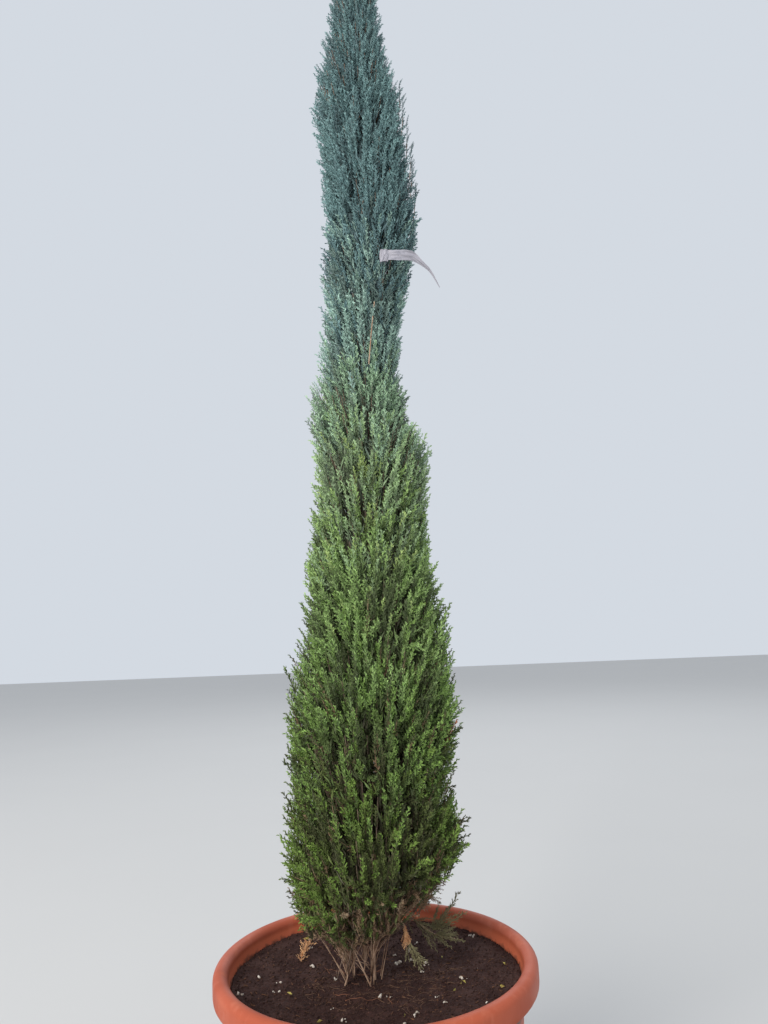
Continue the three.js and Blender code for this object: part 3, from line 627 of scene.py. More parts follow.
def makeSoilBits():
    scatterPebbles("crumbsDark", "crumbDark", soil["crumbs"], (1.4, 5.2), 0.7, 0.12)
    scatterPebbles("crumbsBrown", "crumbBrown", soil["crumbs"] // 3, (1.2, 4), 0.6, 0.05)
    scatterPebbles("perlite", "perliteWhite", soil["perlite"], (2, 9), 0.55, 0.1, 60, 212, 3)
    scatterFibres("woodChips", "woodChip", soil["chips"], (3, 9), 0.9)
    scatterFibres("rootFibres", "rootFibre", soil["fibres"], (8, 34), 0.35, 8, 120)
    scatterFibres("rootPieces", "reddishRoot", soil["rootPieces"], (14, 40), 0.7, 14, 95, 1.0)
    count = soil["leafBits"]
    roots = scatterPlaces(count, 110) + [0, 0, 1.6]
    turns = rng.uniform(0, 2 * math.pi, count)
    ahead = np.stack([np.cos(turns), np.sin(turns), rng.uniform(0, 0.3, count)], axis=1)
    tips = roots + ahead * rng.uniform(6, 12, (count, 1))
    leaves = blades(roots, tips, rng.uniform(3, 5, count), rng.uniform(1.2, 1.9, count))
    addMesh("leafBits", leaves, plainBits("yellowedLeaf", *bits["yellowedLeaf"]), "compost")


makeSoil()
makeSoilBits()
print("compost made")


# the crown's shape, worked out as for the solids

trunkLine = [  # height, x and y
    (337, -2, -4), (700, 5, -6), (1100, 14, -4), (1350, 25, -6),
    (1620, 37, -4), (1850, 24, -6), (2326, 25, -4),
]
trunk = {
    "slimmer": 0.6, "footRadius": 3, "tipRadius": 1.1, "taper": 0.85, "flareRadius": 1.4, "flareHeight": 34,
}
outline = [  # height, and the reach to the left and right of x = 0
    (392, 92, 60), (455, 124, 92), (510, 133, 128), (560, 143, 150), (610, 134, 137), (645, 127, 131),
    (750, 131, 151), (815, 124, 148), (905, 94, 138), (985, 99, 117), (1065, 79, 107), (1150, 75, 121),
    (1200, 72, 112), (1235, 84, 86), (1275, 83, 82), (1315, 59, 72), (1440, 54, 86), (1550, 49, 114),
    (1626, 43, 121), (1740, 53, 104), (1840, 62, 98), (1890, 48, 79), (1950, 32, 70), (2018, 22, 64),
    (2120, 8, 54), (2230, -8, 42), (2332, -22, 28),
]
skirt = {"left": 392, "right": 452}
borderRise = 1.3
tiers = [  # lower and upper border, sectors, rows and columns of plumes, turn
    (300, 505, 6, 2, 2, 0.1),
    (505, 735, 5, 3, 2, 0.5),
    (735, 960, 4, 3, 3, 0.0),
    (960, 1180, 4, 3, 2, 0.45),
    (1180, 1400, 3, 3, 3, 0.85),
    (1400, 1620, 3, 3, 3, 0.3),
    (1620, 1830, 3, 3, 3, 0.7),
    (1830, 2050, 2, 3, 3, 0.2),
    (2050, 2300, 2, 4, 2, 0.72),
]
wave = {"share": 0.36, "lobes": 2, "turn": 2.4, "look": 100, "lowestTilt": 34}
stem = {
    "low": 0.16, "lowStep": 0.2, "sunk": 0.55, "bendLevel": 0.3, "bendReach": 0.42, "basalBend": 50,
    "tipLevel": 0.82, "tipReach": 0.5, "radius": 3, "trunkShare": 0.6,
}
plume = {
    "fill": 0.95, "angleSpread": 0.2, "lean": 0.22, "leanSpread": 0.2, "turnSpread": 0.5,
    "shift": 0.618,  # of each row of plumes along the one under it
    "bend": 0.45, "length": 82, "sizeBase": 0.45, "sizeReach": 140,
}


def stream(start):  # the solids' repeatable numbers from 0 to 1
    state = start & 0xFFFFFFFF

    def draw():
        nonlocal state
        state = (state + 0x6D2B79F5) & 0xFFFFFFFF
        mixed = ((state ^ (state >> 15)) * (state | 1)) & 0xFFFFFFFF
        mixed = (mixed + (mixed ^ (mixed >> 7)) * (mixed | 61)) & 0xFFFFFFFF ^ mixed
        return (mixed ^ (mixed >> 14)) / 4294967296

    return draw


def between(rows, height, ease=False):  # the other columns of the rows, at a height
    last = len(rows) - 1
    clamped = min(max(height, rows[0][0]), rows[last][0])
    i = 0
    while i < last - 1 and rows[i + 1][0] < clamped:
        i += 1
    share = (clamped - rows[i][0]) / (rows[i + 1][0] - rows[i][0])
    if ease:
        share = share * share * (3 - 2 * share)
    return [a + (b - a) * share for a, b in zip(rows[i][1:], rows[i + 1][1:])]


def trunkAt(height):
    x, y = between(trunkLine, height, True)
    return np.array([x, y, height])


def besideTrunk(height, angle, radius):
    return trunkAt(height) + directionOut(angle) * radius


def trunkRadius(height):
    low, top = trunkLine[0][0], trunkLine[-1][0]
    share = min(max((height - low) / (top - low), 0), 1)
    flare = trunk["flareRadius"] * math.exp(-(height - low) / trunk["flareHeight"])
    return trunk["footRadius"] + (trunk["tipRadius"] - trunk["footRadius"]) * share ** trunk["taper"] + flare


def crownRadius(angle, height):
    left, right = between(outline, height)
    return (left + right) / 2 + ((right - left) / 2 - trunkAt(height)[0]) * math.cos(angle)


def crownPoint(angle, level, share):
    radius = 60
    for _ in range(12):
        radius = (radius + share * crownRadius(angle, level + borderRise * radius)) / 2
    return besideTrunk(level + borderRise * radius, angle, radius)


def crownPlace(point):  # angle, distance from the trunk, and share of the crown's reach
    x, y = (point - trunkAt(point[2]))[:2]
    radius = math.hypot(x, y)
    angle = math.atan2(y, x)
    return angle, radius, radius / crownRadius(angle, point[2])


def borderLevel(index, angle):
    if index == 0:
        return tiers[0][0] + wave["lowestTilt"] * math.cos(angle)
    if index == len(tiers):
        return tiers[-1][1]
    level = tiers[index][0]
    height = wave["share"] * sum(between(outline, level + wave["look"])) / 2
    return level + height * math.cos(wave["lobes"] * angle + wave["turn"] * index)


def levelIn(index, angle, share):
    low = borderLevel(index, angle)
    return low + (borderLevel(index + 1, angle) - low) * share


def skirtHeight(angle):
    return (skirt["left"] + skirt["right"]) / 2 + (skirt["right"] - skirt["left"]) / 2 * math.cos(angle)


def sectorAngle(index, sector):
    return -math.pi / 2 + (sector + tiers[index][5]) * 2 * math.pi / tiers[index][2]


def plumeSize(radius):  # smaller where the crown is slim
    return min(1, plume["sizeBase"] + radius / plume["sizeReach"])


# trunk and basal stems

basalFeet = [(7, -9, 2.0), (6, 7, 2.0), (-21, 16, 2.3), (-35, 14, 2.4), (-47, -18, 2.3), (-9, -15, 2.1)]
basal = {
    "slimmer": (0.52, 0.42),  # on the left and on the right
    "tipRadius": 1.7, "reach": 0.42, "bow": 12, "below": 2, "foot": 337.3,
}
barkRelief = {"depth": 0.16, "around": 3.2, "along": 0.018, "twist": 0.12}


def basalRoute(sector):  # foot, bend, tip and foot radius
    angle = sectorAngle(0, sector)
    centre = trunkAt(trunkLine[0][0])
    facing = [math.cos(math.atan2(y - centre[1], x - centre[0]) - angle) for x, y, _ in basalFeet]
    x, y, radius = basalFeet[facing.index(max(facing))]
    height = skirtHeight(angle) - basal["below"]
    tip = besideTrunk(height, angle, basal["reach"] * crownRadius(angle, height))
    foot = np.array([x, y, basal["foot"]])
    return foot, (foot + tip) / 2 + [0, 0, basal["bow"]], tip, radius


def makeLimb(rings, sides, start, name, node):  # with stringy bark, its ridges running along it
    obj = settle(drawnUp(rings, sides), name, bark)
    heights = np.array([ring[2] for ring in rings]) * mm
    around = barkRelief["around"]

    def ridged(points):
        for i, point in enumerate(points):
            x, y, height, _ = rings[int(np.argmin(np.abs(heights - point[2])))]
            centre = np.array([x, y, height]) * mm
            out = point - centre
            along = height * barkRelief["along"]
            twist = math.atan2(out[1], out[0]) + barkRelief["twist"] * along
            spot = Vector((around * math.cos(twist), around * math.sin(twist), along + start))
            points[i] = centre + out * (1 + barkRelief["depth"] * noise.fractal(spot, 0.8, 2.1, 3))
        return points

    movePoints(obj, ridged)
    smoothShaded(obj)
    carry(obj, "bark", node)


def makeTrunk():
    top = trunkLine[-1][0]
    heights = np.concatenate([np.arange(basal["foot"], 480, 4), np.arange(480, top, 12), [top]])
    radii = [min(trunkRadius(height), trunk["footRadius"]) * trunk["slimmer"] for height in heights]
    rings = [(*trunkAt(height), radius) for height, radius in zip(heights, radii)]
    makeLimb(rings, 18, 0, "trunkBark", "trunk")
    for sector in range(tiers[0][2]):
        *line, radius = basalRoute(sector)
        slimmer = basal["slimmer"][line[2][0] > 20]
        radii = np.linspace(radius, basal["tipRadius"], 26) * slimmer
        rings = [(*point, radius) for point, radius in zip(arc(*line, 26), radii)]
        makeLimb(rings, 12, 7.3 * sector, f"basalStem{sector + 1}", f"basal_stem_{sector + 1}")


makeTrunk()
print("trunk and stems made")


# foliage

spray = {
    "shapes": 12, "nodes": 14, "forks": 2, "length": 50, "opening": 0.58, "bow": 0.22,
    "branchlet": 11.8, "width": 2.6, "forkWidth": 0.85,
    "forksFrom": 0.4,  # the branchlets before this share of a spray fork once
    "tipFrom": 0.52,  # and those that start past this one are its bright tips
}
growth = {
    "finer": 3,  # rows of plumes for each row in the solids
    "wider": 3,  # the lowest tiers have one column more
    "upper": 5, "upperScale": 0.86,
    "sprays": (10, 12),  # round each plume in the lower and the upper tiers
    "lowest": 0.38, "fromTrunk": 0.7, "mostReach": 1.0, "twigRadius": (1.3, 0.55),
    "opening": (0.62, 0.3),  # at a plume's foot and its top
    "sprayScale": (1.05, 0.72),
    "shorter": (1, 0.8, 0.62),  # tried in turn for a spray that leaves the crown
    "overSkirt": 16,
    "shoots": 0.16,  # share of the plumes that end in a thin upright shoot
}
shade = {
    "perPlume": 32, "length": (15, 30), "width": 3.6, "reach": 0.93, "overSkirt": 8,
    "leafy": 0.5,  # past this share of the crown's reach they have the sprays' own tints
    "core": 0.62, "coreStep": 5, "perRadius": 0.16,
    "coreSize": 1.5,  # those of the core are larger
    "tints": {"upper": "shadeHigh", "sage": "shadeHigh", "high": "shadeTop", "top": "shadeTop"},
}
zones = [  # height, and tints of a spray's inside, its body and its tips
    ("foot", 560, (0.080, 0.090, 0.035), (0.128, 0.166, 0.047), (0.206, 0.318, 0.068)),
    ("lower", 740, (0.090, 0.114, 0.046), (0.150, 0.214, 0.070), (0.256, 0.400, 0.106)),
    ("middle", 940, (0.120, 0.155, 0.070), (0.206, 0.294, 0.112), (0.342, 0.500, 0.176)),
    ("upper", 1150, (0.182, 0.232, 0.140), (0.290, 0.396, 0.224), (0.425, 0.590, 0.305)),
    ("sage", 1260, (0.179, 0.242, 0.180), (0.278, 0.394, 0.280), (0.398, 0.566, 0.375)),
    # the high and top tints, and the top's dark leaves, are grey-green with a blue cast that is painted sky
    # haze
    ("high", 1370, (0.176, 0.252, 0.226), (0.266, 0.392, 0.345), (0.372, 0.542, 0.460)),
    ("top", 1600, (0.116, 0.190, 0.200), (0.164, 0.278, 0.284), (0.216, 0.356, 0.354)),
]
tints = {row[0] + part: color for row in zones for part, color in zip(("Deep", "Mid", "Bright"), row[2:])}
tints |= {
    "yellowGreen": (0.400, 0.520, 0.190),
    "dry": (0.265, 0.176, 0.106),
    "dryPale": (0.420, 0.310, 0.200),
    "rust": (0.450, 0.170, 0.060),
    "shadeLow": (0.100, 0.096, 0.056),
    "shadeHigh": (0.130, 0.156, 0.112),
    "shadeTop": (0.112, 0.174, 0.180),
}
patches = {"size": 46, "upright": 0.5, "body": 1.4, "tips": 1.8, "dark": -0.22}  # lighter and darker parts
dry = {  # brown sprays, most of them inside of the crown's left edge
    "below": 500, "leftEdge": -60, "lowLeft": 455,
    "chances": {"inside": 0.52, "leftLow": 0.3, "leftHigh": 0.12},
}
fill = {"tries": 14000, "reach": 0.72, "gap": 11.5, "sprays": 2, "band": 20, "size": 0.9}
fringe = {
    "perStem": 34, "lowest": (0.05, 0.6), "fan": 1.9, "rise": 60, "sprays": 2, "twigRadius": (0.8, 0.35),
}
leader = {"sprays": 15, "below": 80, "lean": 0.35, "scale": 0.5}
shoots = [  # foot and height
    (81, -20, 1813, 42), (97, -20, 1793, 60), (101, -18, 1761, 64), (107, -18, 1716, 58),
    (112, -18, 1680, 45), (112, -14, 1646, 44), (117, -8, 1612, 46),
]
bareShoots = [  # foot, middle and end
    ((24.4, -71, 1308), (31, -73, 1366), (37.4, -72, 1415)),
    ((22, -61, 1575), (26, -61, 1616), (28.4, -59, 1657)),
    ((-49, -24, 338), (-43, -30, 364), (-57, -40, 404)),
    ((-34, 2, 338), (-39, -26, 380), (-46, -40, 415)),
    ((-6, -34, 338), (-26, -38, 384), (-42, -42, 420)),
    ((-2, -30, 380), (-6, -34, 394), (-14, -40, 412)),
    ((-4, -20, 338), (-0.5, -32, 388), (4, -42, 420)),
    ((-1, -30, 382), (3, -36, 399), (16, -41, 424)),
]
# dents in the crown's front: half the sprays there are left out, and the sprays and leaves that stay take
# darker tints, painted shade
hollows = [  # on the front: x, height, half width and half height
    (2, 743, 7, 11), (-48, 565, 9, 30), (68, 515, 13, 13), (56, 1027, 8, 14), (44, 1574, 6, 22),
]
oddPatches = [  # centre, reach and tint
    ((10, -72, 1136), 24, "yellowGreen"),
    ((41, -66, 1138), 17, "yellowGreen"),
    ((20, -78, 1060), 16, "yellowGreen"),
    ((-49, -60, 476), 20, "rust"),
    ((79, -40, 462), 34, "dry"),
    ((52, -60, 440), 30, "dry"),
    ((-60, -60, 440), 30, "dry"),
    ((68, -40, 515), 24, "dry"),
    ((137, -50, 734), 9, "rust"),
]
labelRoute = [
    (63, -80, 1491), (75, -81, 1491), (90, -78, 1491.5), (104, -74, 1490), (118, -71, 1480),
    (133, -66, 1467), (148, -60, 1440),
]
labelClear = 15  # no spray ends nearer to the label
pieceFaces = 190000  # at most, in one piece


def sprayShape(random, nodes, branchlet, width, forks):  # along x, bending towards z, in millimetres
    length, bow = spray["length"], spray["bow"]
    rows = []  # root, tip, width and share of the spray
    for i in range(nodes):
        share = 0.05 + 0.95 * i / (nodes - 1)
        spot = np.array([length * share, 0, bow * length * share**2])
        ahead = unit(np.array([1, 0, 2 * bow * share]))
        side, lift = np.array([0, 1, 0]), np.cross(ahead, [0, 1, 0])
        azimuth = goldenAngle * i + random.normal(0, 0.3)
        opening = spray["opening"] * random.uniform(0.7, 1.25) * (1 - 0.55 * share)
        out = side * math.cos(azimuth) + lift * math.sin(azimuth)
        heading = unit(ahead * math.cos(opening) + out * math.sin(opening))
        size = branchlet * (1.1 - 0.45 * share) * random.uniform(0.85, 1.15)
        rows.append((spot, spot + heading * size, width, share))
        for fork in range(forks if share > spray["forksFrom"] else 1):
            start = spot + heading * size * (0.3 + 0.3 * fork)
            turn = np.cross(ahead, out) * (1 if fork % 2 else -1) + 0.3 * out
            away = unit(heading + turn * random.uniform(0.45, 0.8))
            end = start + away * size * (0.66 - 0.1 * fork)
            rows.append((start, end, width * spray["forkWidth"], share + 0.12 * (fork + 1)))
    roots, tips, widths, shares = (np.array(column) for column in zip(*rows))
    rolls = random.uniform(0, 2 * math.pi, len(roots))
    bright = shares > spray["tipFrom"]
    body, ends = (blades(roots[part], tips[part], widths[part], rolls[part]) for part in (~bright, bright))
    line = np.linspace(0, 1, 3)
    path = np.stack([length * line, 0 * line, bow * length * line**2], axis=1)
    return joined([body, tubes(path[None], np.array([[0.9, 0.75, 0.4]]), 3)]), ends


def addSpray(crown, spot, heading, lift, scale, draw, body, tips):
    side = unit(np.cross(lift, heading))
    axes = np.array([heading, side, np.cross(heading, side)])
    crown["sprays"].append((int(draw() * spray["shapes"]), body, tips, spot, axes, scale))


def zoneAt(height, draw):
    step = np.interp(height, [row[1] for row in zones], range(len(zones)))
    return zones[int(round(min(max(step + (draw() - 0.5), 0), len(zones) - 1)))][0]


def tintsOf(draw, end, share, facing):  # of a spray's body and its tips
    for centre, reach, tint in oddPatches:
        if np.linalg.norm(end - centre) < reach * (0.6 + 0.6 * draw()):
            return tint, tint
    left = "leftLow" if end[2] < dry["lowLeft"] else "leftHigh"
    where = "inside" if end[0] > dry["leftEdge"] else left
    if end[2] < dry["below"] and draw() < dry["chances"][where]:
        return "dry", ("dry", "dryPale", "footDeep", "footMid")[int(4 * draw())]
    zone = zoneAt(end[2], draw)
    # sprays in the hollows, deep in the crown or turned inwards take the darker tints: painted shade
    if inHollow(end):
        return zone + "Deep", zone + "Deep"
    if facing < -0.2 or share < 0.7:
        return zone + "Deep", zone + ("Mid" if draw() < 0.6 else "Deep")
    chance = draw()
    if chance < 0.04 and zone in ("middle", "upper"):
        return zone + "Mid", "yellowGreen"
    if chance < 0.08 and zone in ("foot", "lower"):
        return "dry", zone + "Deep"
    patch = noise.noise(Vector(end) / patches["size"] * Vector((1, 1, patches["upright"])))
    body = "Mid" if draw() < 0.72 + patches["body"] * patch else "Deep"
    tips = "Bright" if draw() < 0.74 + patches["tips"] * patch else "Mid"
    if patch < patches["dark"] and draw() < 0.5:
        tips = "Deep"
    return zone + body, zone + tips


def inHollow(point):
    x, y, z = point
    inFront = y < trunkAt(z)[1] - 0.3 * crownRadius(-math.pi / 2, z)
    return inFront and any(((x - a) / c) ** 2 + ((z - b) / d) ** 2 < 1 for a, b, c, d in hollows)


def nearLabel(point):
    return any(np.linalg.norm(np.array(place) - point) < labelClear for place in labelRoute)


def growSprays(crown, path, size, angle, count, draw):  # round a plume's twig, and one on from its end
    outward = directionOut(angle)
    lengths = np.concatenate([[0], np.cumsum(np.linalg.norm(np.diff(path, axis=0), axis=1))])
    turn = draw() * 2 * math.pi
    lowest = growth["lowest"]
    for i in range(count):
        share = lowest + (1 - lowest) * i / (count - 1)
        far = share * lengths[-1]
        spot = np.array([np.interp(far, lengths, path[:, k]) for k in range(3)])
        k = min(max(int(np.searchsorted(lengths, far)), 1), len(path) - 1)
        ahead = unit(path[k] - path[k - 1])
        across, other = sideways(ahead)
        azimuth = turn + goldenAngle * i
        out = across * math.cos(azimuth) + other * math.sin(azimuth)
        if float(out @ outward) < -0.3:
            out = unit(out + outward * 0.9)
        opening = np.interp(share, [lowest, 1], growth["opening"]) * (0.75 + 0.5 * draw())
        if i == count - 1:
            opening = 0.05
        heading = unit(ahead * math.cos(opening) + out * math.sin(opening) + [0, 0, 0.25])
        scale = size * np.interp(share, [lowest, 1], growth["sprayScale"]) * (0.85 + 0.3 * draw())
        for shorter in growth["shorter"]:
            end = spot + heading * spray["length"] * scale * shorter
            endAngle, _, endShare = crownPlace(end)
            if endShare < growth["mostReach"]:
                break
        else:
            continue
        tooLow = end[2] < skirtHeight(endAngle) + growth["overSkirt"]
        if tooLow or nearLabel(end) or nearLabel((spot + end) / 2):
            continue
        if inHollow(end) and draw() < 0.5:
            continue
        colors = tintsOf(draw, end, endShare, float(out @ outward))
        addSpray(crown, spot, heading, ahead + 0.3 * outward, scale * shorter, draw, *colors)


def addShade(crown, spot, tip, width, share, draw):
    zone = zoneAt(tip[2], draw)
    if tip[2] < dry["below"] and draw() < 0.35:
        tint = "dry"
    elif share < shade["leafy"] * (0.8 + 0.4 * draw()) or inHollow(tip):
        tint = shade["tints"].get(zone, "shadeLow")
    else:
        tint = zone + ("Mid" if draw() < 0.4 * share else "Deep")
    crown["blades"].setdefault(tint, []).append((spot, tip, width, 6 * draw()))


def growShade(crown, line, size, angle, draw):  # dark leaves that close the crown's inside
    for _ in range(shade["perPlume"]):
        spot = bezier(*line, draw())
        spot = spot + directionOut(angle + 3 * (draw() - 0.5)) * 16 * draw()
        heading = directionOut(angle + 4 * (draw() - 0.5), 0.2 + 0.5 * draw())
        low, high = np.array(shade["length"]) * (0.65 if spot[2] < dry["below"] else 1)
        tip = spot + heading * (low + (high - low) * draw()) * size
        tipAngle, _, share = crownPlace(tip)
        if share < shade["reach"] and spot[2] > skirtHeight(tipAngle) + shade["overSkirt"]:
            addShade(crown, spot, tip, shade["width"] * size, share, draw)


def growPlume(crown, index, angle, level, reach, leave, line, draw):
    tip = crownPoint(angle, level, reach)
    size = plumeSize(crownRadius(angle, tip[2]))
    lean = plume["lean"] + plume["leanSpread"] * (draw() - 0.5)
    main = directionOut(angle + plume["turnSpread"] * (draw() - 0.5), lean)
    start = bezier(*line, leave)
    length = plume["length"] * size
    if index == 0:  # the lowest don't hang under the stems that carry them
        length = min(length, max(30, (tip[2] - start[2]) / main[2]))
        root = tip - main * length
        bend = start + (root - start) * [0.6, 0.6, 0.3]
    else:
        root = tip - main * length
        if start[2] > root[2] - 5:  # these leave the trunk instead
            start = trunkAt(root[2] - growth["fromTrunk"] * crownPlace(root)[1])
        bend = root - main * plume["bend"] * np.linalg.norm(root - start)
    path = np.array([*arc(start, bend, root, 6), root + main * length * 0.4])
    crown["twigs"].append(path)
    upper = index >= growth["upper"]
    finer = size * (growth["upperScale"] if upper else 1)
    growSprays(crown, path, finer, angle, growth["sprays"][upper], draw)
    growShade(crown, (start, bend, root), size, angle, draw)
    if draw() < growth["shoots"]:
        colors = tintsOf(draw, tip, 1, 1)
        heading = unit(main + [0, 0, 0.8])
        addSpray(crown, path[-1], heading, main, size * (0.9 + 0.35 * draw()), draw, *colors)


def cellLine(index, sector):  # the cell's stem: start, bend and tip
    angle = sectorAngle(index, sector)
    tip = crownPoint(angle, levelIn(index, angle, stem["tipLevel"]), stem["tipReach"])
    if index == 0:
        _, bend, foot, _ = basalRoute(sector)
        radius = basal["tipRadius"] * basal["slimmer"][0]
        return foot, foot + unit(foot - bend) * stem["basalBend"], tip, radius
    height = levelIn(index, angle, stem["low"] + stem["lowStep"] * sector / tiers[index][2])
    start = besideTrunk(height, angle, stem["sunk"] * trunkRadius(height))
    bend = crownPoint(angle, levelIn(index, angle, stem["bendLevel"]), stem["bendReach"])
    return start, bend, tip, min(stem["radius"], stem["trunkShare"] * trunkRadius(height))


def growCell(crown, index, sector):
    _, _, count, rows, columns, _ = tiers[index]
    draw = stream(seed + 101 * index + 7 * sector)
    *line, radius = cellLine(index, sector)
    crown["stems"].append((arc(*line, 9), radius))
    middle, spread = sectorAngle(index, sector), math.pi / count
    rows *= growth["finer"]
    columns += index < growth["wider"]
    for row in range(rows):
        for column in range(columns):
            across = ((column + 0.5 + plume["shift"] * row) % columns) / columns
            angle = middle + (2 * across - 1) * spread * plume["fill"]
            angle += (draw() - 0.5) * plume["angleSpread"]
            level = levelIn(index, angle, (row + 0.5 + 0.6 * draw()) / rows)
            reach = 0.85 + 0.14 * draw()
            leave = 0.3 + 0.48 * (row + draw()) / rows
            growPlume(crown, index, angle, level, reach, leave, line, draw)


def growCore(crown):  # more dark leaves, round the trunk
    draw = stream(seed + 77)
    for height in np.arange(skirt["left"], trunkLine[-1][0] - 40, shade["coreStep"]):
        for _ in range(int(2 + shade["perRadius"] * crownRadius(0, height))):
            angle = draw() * 2 * math.pi
            most = crownRadius(angle, height)
            radius = max(math.sqrt(draw()) * shade["core"] * most, trunkRadius(height))
            spot = besideTrunk(height, angle, radius)
            size = plumeSize(most)
            heading = directionOut(angle + draw() - 0.5, 0.1 + 0.4 * draw())
            tip = spot + heading * shade["coreSize"] * shade["length"][1] * size
            if spot[2] > skirtHeight(angle) + shade["overSkirt"]:
                addShade(crown, spot, tip, shade["coreSize"] * shade["width"] * size, 0, draw)


def growFill(crown):  # a short branch wherever the crown's face is still thin
    draw = stream(seed + 91)
    bands = {}  # the sprays' middles, by height
    for _, _, _, spot, axes, scale in crown["sprays"]:
        middle = spot + axes[0] * spray["length"] * scale / 2
        bands.setdefault(int(middle[2] // fill["band"]), []).append(middle)
    for _ in range(fill["tries"]):
        height = skirt["left"] + (trunkLine[-1][0] - skirt["left"]) * draw()
        angle = draw() * 2 * math.pi
        radius = crownRadius(angle, height)
        spot = besideTrunk(height, angle, radius * (fill["reach"] + 0.14 * draw()))
        size = plumeSize(radius)
        band = int(height // fill["band"])
        around = np.array([middle for k in (band - 1, band, band + 1) for middle in bands.get(k, [])])
        near = len(around) > 0 and np.linalg.norm(around - spot, axis=1).min() < fill["gap"] * size
        if near or inHollow(spot) or height < skirtHeight(angle) + 40:
            continue
        start = trunkAt(max(height - growth["fromTrunk"] * radius - 20, skirt["left"]))
        bend = spot - directionOut(angle, plume["lean"]) * plume["bend"] * np.linalg.norm(spot - start)
        path = arc(start, bend, spot, 7)
        crown["twigs"].append(path)
        growSprays(crown, path, fill["size"] * size, angle, fill["sprays"], draw)
        bands.setdefault(band, []).append(spot)


def growSkirt(crown):  # fine twigs that fan out from the basal stems, with small sprays on their ends
    draw = stream(seed + 55)
    for sector in range(tiers[0][2]):
        line = basalRoute(sector)[:3]
        middle = sectorAngle(0, sector)
        lowest = fringe["lowest"][math.cos(middle) > 0.2]
        for i in range(fringe["perStem"]):
            start = bezier(*line, lowest + (0.92 - lowest) * (i + draw()) / fringe["perStem"])
            angle = middle + fringe["fan"] * (draw() - 0.5)
            height = skirtHeight(angle) + fringe["rise"] * (draw() - 0.05)
            tip = besideTrunk(height, angle, (0.2 + 0.72 * math.sqrt(draw())) * crownRadius(angle, height))
            path = arc(start, start + (tip - start) * [0.45, 0.45, 0.5], tip, 6)
            crown["fineTwigs"].append(path)
            for _ in range(fringe["sprays"]):
                spot = path[-1] + (path[-2] - path[-1]) * draw()
                heading = unit(unit(path[-1] - path[-2]) + directionOut(6.3 * draw(), 1.5) * 0.7)
                scale = 0.42 + 0.25 * draw()
                end = spot + heading * spray["length"] * scale
                if crownPlace(end)[2] < 1 and end[2] > skirtHeight(angle) + 2:
                    chance = draw()
                    green = chance < (0.75 if end[0] < -55 else 0.4)
                    dead = ("dry", "dry" if chance < 0.8 else "dryPale")
                    colors = ("footDeep", "footMid") if green else dead
                    addSpray(crown, spot, heading, np.array([0.1, 0.2, 1.0]), scale, draw, *colors)


def growShoots(crown):  # thin upright shoots that stand clear of the crown's right side
    draw = stream(seed + 33)
    for x, y, z, height in shoots:
        foot, top = np.array((x - 2, y, z)), np.array((x + 1, y, z + height))
        path = [(x - 8, y * 0.7, z - 40), foot, (x, y, z + height * 0.5)]
        crown["fineTwigs"].append(smoothPath(path, 3)[:6])
        for share in np.linspace(-0.1, 0.8, 9):
            heading = unit(np.array([0.5 * (draw() - 0.5), 0.5 * (draw() - 0.5), 1]))
            scale, lift = 0.24 + 0.12 * draw(), np.array([1.0, 0.1, 0])
            addSpray(crown, foot + (top - foot) * share, heading, lift, scale, draw, "topDeep", "topDeep")


def growLeader(crown):  # sprays round the trunk's end
    draw = stream(seed + 66)
    for i in range(leader["sprays"]):
        spot = trunkAt(trunkLine[-1][0] - leader["below"] * (1 - i / leader["sprays"]))
        heading, lift = directionOut(goldenAngle * i, leader["lean"] * draw()), np.array([0.3, 0.2, 1.0])
        addSpray(crown, spot, heading, lift, leader["scale"], draw, "topMid", "topBright")


def spread(shapePart, sprays):  # copies of one part of a spray's shape
    points, faces = shapePart
    places, axes, scales = (np.array(column) for column in list(zip(*sprays))[3:])
    copies = np.einsum("vi,nij->nvj", points, axes) * scales[:, None, None] + places[:, None]
    return repeat(copies, faces)


def addPieces(name, parts, material, slot, nodes):  # one piece, or more where there are too many faces
    points, faces = joined(parts)
    count = math.ceil(len(faces) / pieceFaces)
    for i, some in enumerate(np.array_split(faces, count)):
        used, numbers = np.unique(some, return_inverse=True)
        pieceName = name if count == 1 else f"{name}_{i + 1}"
        addMesh(pieceName, (points[used], numbers.reshape(-1, 3)), material, slot, *nodes)


def makeFoliage():
    masses = [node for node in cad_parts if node.startswith("foliage_")]
    crown = {"sprays": [], "blades": {}, "twigs": [], "fineTwigs": [], "stems": []}
    for index, tier in enumerate(tiers):
        for sector in range(tier[2]):
            growCell(crown, index, sector)
    for grow in (growCore, growFill, growSkirt, growShoots, growLeader):
        grow(crown)
    random = np.random.default_rng(seed + 5)
    sizes = [spray[key] for key in ("nodes", "branchlet", "width", "forks")]
    shapes = [sprayShape(random, *sizes) for _ in range(spray["shapes"])]
    for tint, color in tints.items():
        parts = []
        for number, shape in enumerate(shapes):
            for part in (0, 1):  # the body and the tips
                some = [item for item in crown["sprays"] if item[0] == number and item[1 + part] == tint]
                parts += [spread(shape[part], some)] if some else []
        if tint in crown["blades"]:
            parts.append(blades(*(np.array(column) for column in zip(*crown["blades"][tint]))))
        if parts:
            name = tint[0].upper() + tint[1:]
            addPieces("foliage" + name, parts, scaleLeaf("leaf" + name, color), "foliage", masses)
    print("foliage:", len(crown["sprays"]), "sprays,", len(crown["twigs"]), "twigs")
    parts = [limbs(crown["twigs"], growth["twigRadius"], 3)]
    parts += [limbs([path], (radius, radius / 2), 6) for path, radius in crown["stems"]]
    addPieces("foliageTwigs", parts, twigBark, "bark", masses)
    bare = [smoothPath(path, 4) for path in bareShoots]
    parts = [limbs(crown["fineTwigs"], fringe["twigRadius"], 4), limbs(bare, (1.2, 0.7), 6)]
    addPieces("foliageFineTwigs", parts, bark, "bark", masses)


makeFoliage()
print("foliage made")


# low branches at the foot, and a dry sprig on the compost

